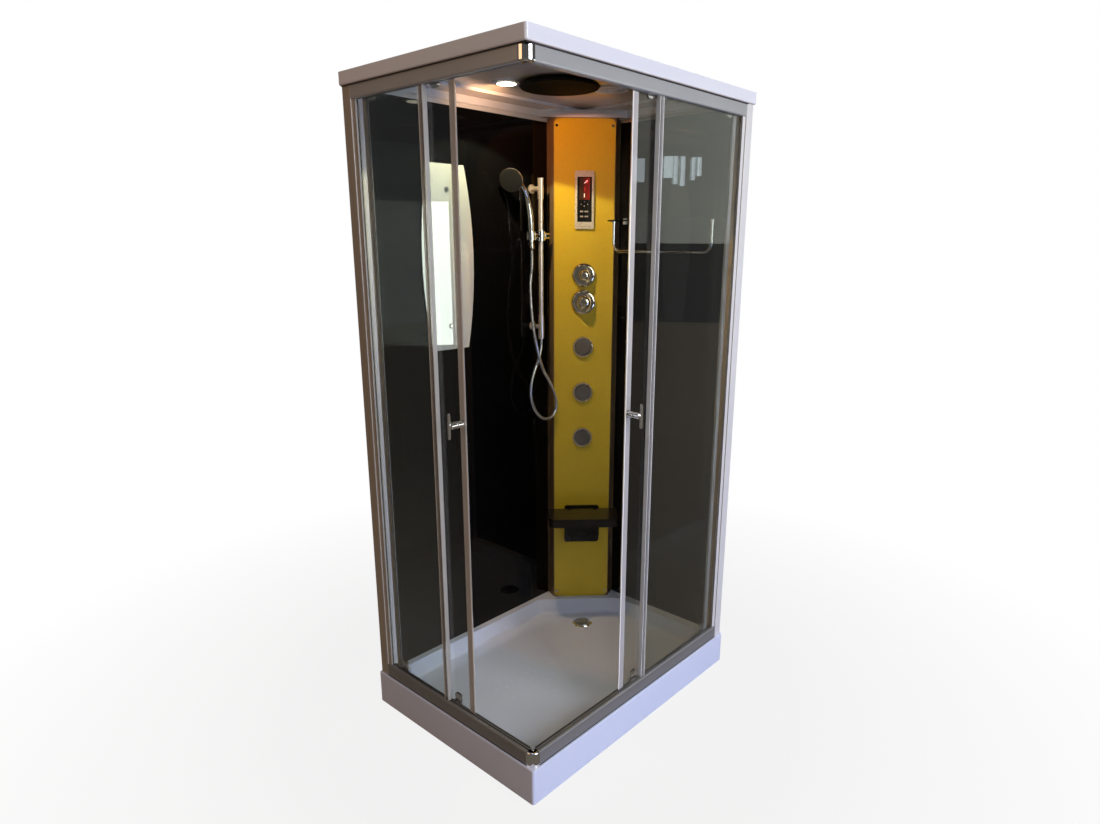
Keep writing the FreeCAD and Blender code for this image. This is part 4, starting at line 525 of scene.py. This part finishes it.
dressNodes(finishNodes)
print("frame dressed")


def roundedBox(mesh, placing, rounding, segments):
    made = bmesh.ops.create_cube(mesh, size=1, matrix=placing)
    edges = list(dict.fromkeys(edge for vert in made["verts"] for edge in vert.link_edges))
    bmesh.ops.bevel(mesh, geom=edges, offset=rounding, segments=segments, profile=0.5, material=-1, affect="EDGES")


def finishPiece(name, mesh, material, smooth=False):
    bmesh.ops.recalc_face_normals(mesh, faces=mesh.faces)
    for face in mesh.faces:
        face.smooth = smooth
    piece = meshObject(name, mesh)
    piece.data.materials.append(materials[material])
    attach(piece, "cabin")


# display, bezel bands and keys on the column's control panel
# places are across the column, up and out of its face, in metres; a mark's last number is its turn
panelSettings = {
    "across": (0.7071, 0.7071, 0.0),
    "out": (0.7071, -0.7071, 0.0),
    "middle": 0.11667,
    "face": -0.455,
    "segments": 3,
    "bands": (("panelBandTop", (0, 1.9125, 0.0095), (0.0576, 0.0136, 0.0014)),
              ("panelBandBottom", (0, 1.7294, 0.0095), (0.0576, 0.0172, 0.0014))),
    "bandRounding": 0.0006,
    "window": ((0.0005, 1.862, 0.0096), (0.041, 0.082, 0.0008)),
    "windowRounding": 0.0003,
    "marks": {
        "displayRed": (((0.008, 1.887, 0.01), (0.01, 0.009), 0), ((0.001, 1.8615, 0.01), (0.0018, 0.018), -0.05)),
        "displayPink": (((0.0015, 1.884, 0.0103), (0.008, 0.0024), 0.6),
                        ((0.0085, 1.8905, 0.0103), (0.007, 0.0024), 0.9)),
        "displayCream": (((-0.001, 1.837, 0.01), (0.0026, 0.015), 0),),
        "keyPrint": (((0, 1.8138, 0.0098), (0.0028, 0.0028), 0), ((-0.013, 1.804, 0.0098), (0.0028, 0.0028), 0),
                     ((0.012, 1.804, 0.0098), (0.0028, 0.0028), 0), ((-0.001, 1.7974, 0.0098), (0.0028, 0.0028), 0)),
    },
    "markDepth": 0.0003,
    "markRounding": 0.00012,
    "dashRows": (1.7773, 1.7585),
    "dashes": (-0.0155, -0.0112, -0.0069, 0.0025, 0.0068, 0.0125),
    "dashOut": 0.0097,
    "dashSize": (0.0032, 0.0055),
    "dot": ((-0.019, 1.7293, 0.0104), (0.003, 0.003, 0.0006)),
    "dotRounding": 0.0003,
}


def plateOn(mesh, settings, place, size, rounding, turn=0.0):
    # plate with rounded edges that lies on the column's face
    across, out, up = Vector(settings["across"]), Vector(settings["out"]), Vector((0, 0, 1))
    wide = across * math.cos(turn) + up * math.sin(turn)
    tall = up * math.cos(turn) - across * math.sin(turn)
    middle = across * (settings["middle"] + place[0]) + up * place[1] + out * (settings["face"] + place[2])
    grow = Matrix((wide * size[0], out * size[2], tall * size[1])).transposed().to_4x4()
    roundedBox(mesh, Matrix.Translation(middle) @ grow, rounding, settings["segments"])


def makePanel(settings):
    for name, place, size in settings["bands"]:
        mesh = bmesh.new()
        plateOn(mesh, settings, place, size, settings["bandRounding"])
        finishPiece(name, mesh, "bezel")
    mesh = bmesh.new()
    plateOn(mesh, settings, *settings["window"], settings["windowRounding"])
    finishPiece("displayWindow", mesh, "window")
    deep, rounding = settings["markDepth"], settings["markRounding"]
    for kind, marks in settings["marks"].items():
        mesh = bmesh.new()
        for place, size, turn in marks:
            plateOn(mesh, settings, place, (*size, deep), rounding, turn)
        if kind == "keyPrint":
            for row in settings["dashRows"]:
                for across in settings["dashes"]:
                    plateOn(mesh, settings, (across, row, settings["dashOut"]), (*settings["dashSize"], deep), rounding)
        finishPiece(kind, mesh, kind)
    mesh = bmesh.new()
    plateOn(mesh, settings, *settings["dot"], settings["dotRounding"])
    finishPiece("panelDot", mesh, "darkPlate")
    print("panel made")


makePanel(panelSettings)

# dark strips along the rails' foot on the tray, and painted shade: dark strips that fill the gap under the roof's lip,
# where shade falls; each from its low to its high corner
stripAndShadeSettings = {
    "rounding": 0.0008,
    "segments": 2,
    "bars": (
        ((-0.352, -0.5434, 0.1196), (0.364, -0.541, 0.1226)), ((0.391, -0.514, 0.1196), (0.3934, 0.503, 0.1226)),
        # painted shade: the two strips under the roof's lip
        ((-0.392, -0.5458, 2.1092), (0.3955, -0.5412, 2.1122)), ((0.3912, -0.5458, 2.1092), (0.3958, 0.503, 2.1122)),
    ),
}


def makeStripsAndShade(settings):
    mesh = bmesh.new()
    for low, high in settings["bars"]:
        low, high = Vector(low), Vector(high)
        placing = Matrix.Translation((low + high) / 2) @ Matrix.Diagonal((*(high - low), 1))
        roundedBox(mesh, placing, settings["rounding"], settings["segments"])
    finishPiece("railStripsAndLipShade", mesh, "rubberAndShade")


# low round bumps of the basin floor, none of them near the drain, and the screw on the lower corner cap
domeSettings = {
    "columns": 8, "rows": 11, "pitch": 0.042, "start": (-0.13, -0.31), "floor": 0.0598,
    "drain": (-0.08, 0.2), "clear": 0.08,
    "bumpSize": (0.0052, 0.001),
    "screw": (0.372, -0.5205, 0.1677), "screwSize": (0.0034, 0.0016),
    "sides": 16,
    "heights": (0, 0.35, 0.65, 0.88),  # shares of the dome's height at which it has a ring
}


def addDome(mesh, settings, place, radius, height):
    # disc that is drawn up ring by ring, each ring narrower than the one below
    middle = Matrix.Translation(place)
    made = bmesh.ops.create_circle(mesh, cap_ends=True, radius=radius, segments=settings["sides"], matrix=middle)
    top = made["verts"][0].link_faces[0]
    for low, high in zip(settings["heights"], settings["heights"][1:]):
        drawn = bmesh.ops.extrude_face_region(mesh, geom=[top, *top.edges, *top.verts])["geom"]
        ring = [part for part in drawn if isinstance(part, bmesh.types.BMVert)]
        top = next(part for part in drawn if isinstance(part, bmesh.types.BMFace))
        narrower = math.cos(math.asin(high)) / math.cos(math.asin(low))
        bmesh.ops.scale(mesh, vec=(narrower, narrower, 1), space=middle.inverted(), verts=ring)
        bmesh.ops.translate(mesh, vec=(0, 0, height * (high - low)), verts=ring)


def makeDomes(settings):
    mesh = bmesh.new()
    pitch = settings["pitch"]
    for row in range(settings["rows"]):
        for column in range(settings["columns"] - row % 2):
            x = settings["start"][0] + pitch * (column + 0.5 * (row % 2))
            y = settings["start"][1] + pitch * row * math.sin(math.pi / 3)
            if math.hypot(x - settings["drain"][0], y - settings["drain"][1]) > settings["clear"]:
                addDome(mesh, settings, (x, y, settings["floor"]), *settings["bumpSize"])
    finishPiece("basinBumps", mesh, "trayAcrylic", True)
    mesh = bmesh.new()
    addDome(mesh, settings, settings["screw"], *settings["screwSize"])
    finishPiece("capScrew", mesh, "chrome", True)
    print("small pieces made")


makeStripsAndShade(stripAndShadeSettings)
makeDomes(domeSettings)

# pale room; what shines in metal is dimmer than what the camera sees
roomSettings = {"color": (1.0, 0.86, 0.7), "light": 0.07, "shine": 0.08, "seen": 1.0}
# round floor that fades to plain white; metal sees it darker to the left
floorSettings = {
    "radius": 14, "sides": 64, "color": (0.4, 0.37, 0.34), "rough": 0.7,
    "shineColor": (1, 0.88, 0.74), "shine": (0.06, 0.17), "shineReach": (-3.0, 3.0),
    "fade": (0.86, 1.0), "fadeReach": (0.9, 2.4),
}


def lightPath(tree, kind):
    return addNode(tree, "ShaderNodeLightPath").outputs[kind]


def makeWorld(settings):
    world = bpy.data.worlds.new("paleRoom")
    scene.world = world
    world.use_nodes = True
    tree = world.node_tree
    room = tree.nodes["Background"]
    fillAll(tree, room, {"Color": settings["color"], "Strength": settings["light"]})
    shine, seen = (addNode(tree, "ShaderNodeBackground", {"Color": (1, 1, 1), "Strength": settings[key]})
                   for key in ("shine", "seen"))
    glossy = mixShaders(tree, lightPath(tree, "Is Glossy Ray"), room.outputs["Background"], shine.outputs["Background"])
    whole = mixShaders(tree, lightPath(tree, "Is Camera Ray"), glossy, seen.outputs["Background"])
    tree.links.new(whole, tree.nodes["World Output"].inputs["Surface"])


def makeFloor(settings):
    mesh = bmesh.new()
    bmesh.ops.create_circle(mesh, cap_ends=True, radius=settings["radius"], segments=settings["sides"])
    floor = meshObject("paleFloor", mesh)
    material, tree, shader = newMaterial("paleFloor")
    fillAll(tree, shader, {"Base Color": settings["color"], "Roughness": settings["rough"]})
    dimness = spread(tree, alongObject(tree, (1, 0, 0)), *settings["shine"], *settings["shineReach"])
    dim = addNode(tree, "ShaderNodeEmission", {"Color": settings["shineColor"], "Strength": dimness})
    white = addNode(tree, "ShaderNodeEmission", {"Color": (1, 1, 1), "Strength": 1.0})
    far = calculateVector(tree, "LENGTH", objectPlace(tree))
    faded = spread(tree, far, *settings["fade"], *settings["fadeReach"])
    fade = calculate(tree, "MULTIPLY", lightPath(tree, "Is Camera Ray"), faded)
    glossy = mixShaders(tree, lightPath(tree, "Is Glossy Ray"), shader.outputs["BSDF"], dim.outputs["Emission"])
    whole = mixShaders(tree, fade, glossy, white.outputs["Emission"])
    tree.links.new(whole, tree.nodes["Material Output"].inputs["Surface"])
    floor.data.materials.append(material)


# soft lamps round the cabin, and cards that are seen as reflections in its glass
lampSettings = {
    "key": {"place": (4.6, -0.3, 2.6), "size": (2.6, 2.6), "power": 142, "color": (0.96, 0.97, 1.0),
            "target": (0, 0, 1.2)},
    "low": {"place": (3.4, 0.2, 0.5), "size": (2.0, 0.6), "power": 32, "color": (0.3, 0.42, 1.0),
            "target": (0.4, 0, 0.05), "shine": False},
    "fill": {"place": (-1.2, -4.4, 3.0), "size": (2.4, 2.4), "power": 30, "color": (1.0, 0.56, 0.29),
             "target": (0, 0, 1)},
    "top": {"place": (1.6, -1.8, 4.6), "size": (2.4, 2.4), "power": 16, "color": (0.75, 0.85, 1.0),
            "target": (0, 0, 1)},
    "back": {"place": (-3.2, 3.4, 3.2), "size": (2.4, 2.4), "power": 60, "color": (1, 1, 1),
             "target": (0, 0, 1)},
    "paneCard": {"place": (2.56, 3.31, 2.27), "size": (1.6, 1.23), "power": 3.1, "color": (1, 1, 0.9),
                 "target": (0.38, 0.25, 2.27)},
    "mirrorCard": {"place": (3.9, 3.2, 1.32), "size": (1.7, 1.5), "power": 20, "color": (1, 0.99, 0.95),
                   "target": (-0.37, -0.17, 1.6)},
    "mirrorTop": {"place": (3.9, 3.2, 2.36), "size": (1.7, 0.56), "power": 1.0, "color": (0.82, 1, 0.98),
                  "target": (-0.37, -0.17, 1.6)},
}
# narrow cards that the fixed pane reflects as a curtain's folds: place and size of each
curtainSettings = {
    "powerPerArea": 6.0, "color": (0.8, 0.92, 1.0), "target": (0.38, 0.1, 2.17),
    "cards": (
        ((2.339, 2.57, 2.158), (0.096, 0.16)), ((2.244, 2.778, 2.188), (0.067, 0.149)),
        ((2.218, 2.837, 2.17), (0.03, 0.191)), ((2.194, 2.892, 2.165), (0.03, 0.205)),
        ((2.157, 2.974, 2.186), (0.025, 0.158)), ((2.136, 3.021, 2.202), (0.03, 0.131)),
    ),
}
# light of the ceiling lamp: a cone down, a warm one at the column and a glow along the ceiling
spotSettings = {
    "ceilingSpot": {"place": (-0.14, -0.1, 2.135), "power": 17, "color": (0.98, 0.92, 0.52), "size": 0.012,
                    "angle": 122, "blend": 0.06, "target": (-0.16, -0.06, 0)},
    "wideSpot": {"place": (-0.14, -0.1, 2.135), "power": 11, "color": (1.0, 0.38, 0.15), "size": 0.012,
                 "angle": 90, "blend": 0.1, "target": (-0.24, 0.404, 1.62)},
    "ceilingGlow": {"place": (-0.17, -0.1, 2.117), "power": 1.8, "color": (1.0, 0.55, 0.28), "size": 0.02,
                    "angle": 110, "blend": 1.0, "target": (-0.38, -0.02, 2.14)},
}


def placeLamp(name, light, settings, shine):
    light.energy = settings["power"]
    light.color = settings["color"]
    lamp = bpy.data.objects.new(name, light)
    lamp.visible_glossy = shine
    scene.collection.objects.link(lamp)
    lamp.location = settings["place"]
    lamp.rotation_euler = (Vector(settings["target"]) - lamp.location).to_track_quat("-Z", "Y").to_euler()


def makeLamp(name, settings):
    light = bpy.data.lights.new(name, "AREA")
    light.shape = "RECTANGLE"
    light.size, light.size_y = settings["size"]
    placeLamp(name, light, settings, settings.get("shine", True))


def makeCurtain(settings):
    for number, (place, size) in enumerate(settings["cards"]):
        power = settings["powerPerArea"] * size[0] * size[1]
        makeLamp("curtain" + str(number), {**settings, "place": place, "size": size, "power": power})


def makeSpot(name, settings):
    light = bpy.data.lights.new(name, "SPOT")
    light.shadow_soft_size = settings["size"]
    light.spot_size = math.radians(settings["angle"])
    light.spot_blend = settings["blend"]
    placeLamp(name, light, settings, False)


makeWorld(roomSettings)
makeFloor(floorSettings)
for lampName, lamp in lampSettings.items():
    makeLamp(lampName, lamp)
makeCurtain(curtainSettings)
for spotName, spot in spotSettings.items():
    makeSpot(spotName, spot)
print("stage and lamps made")
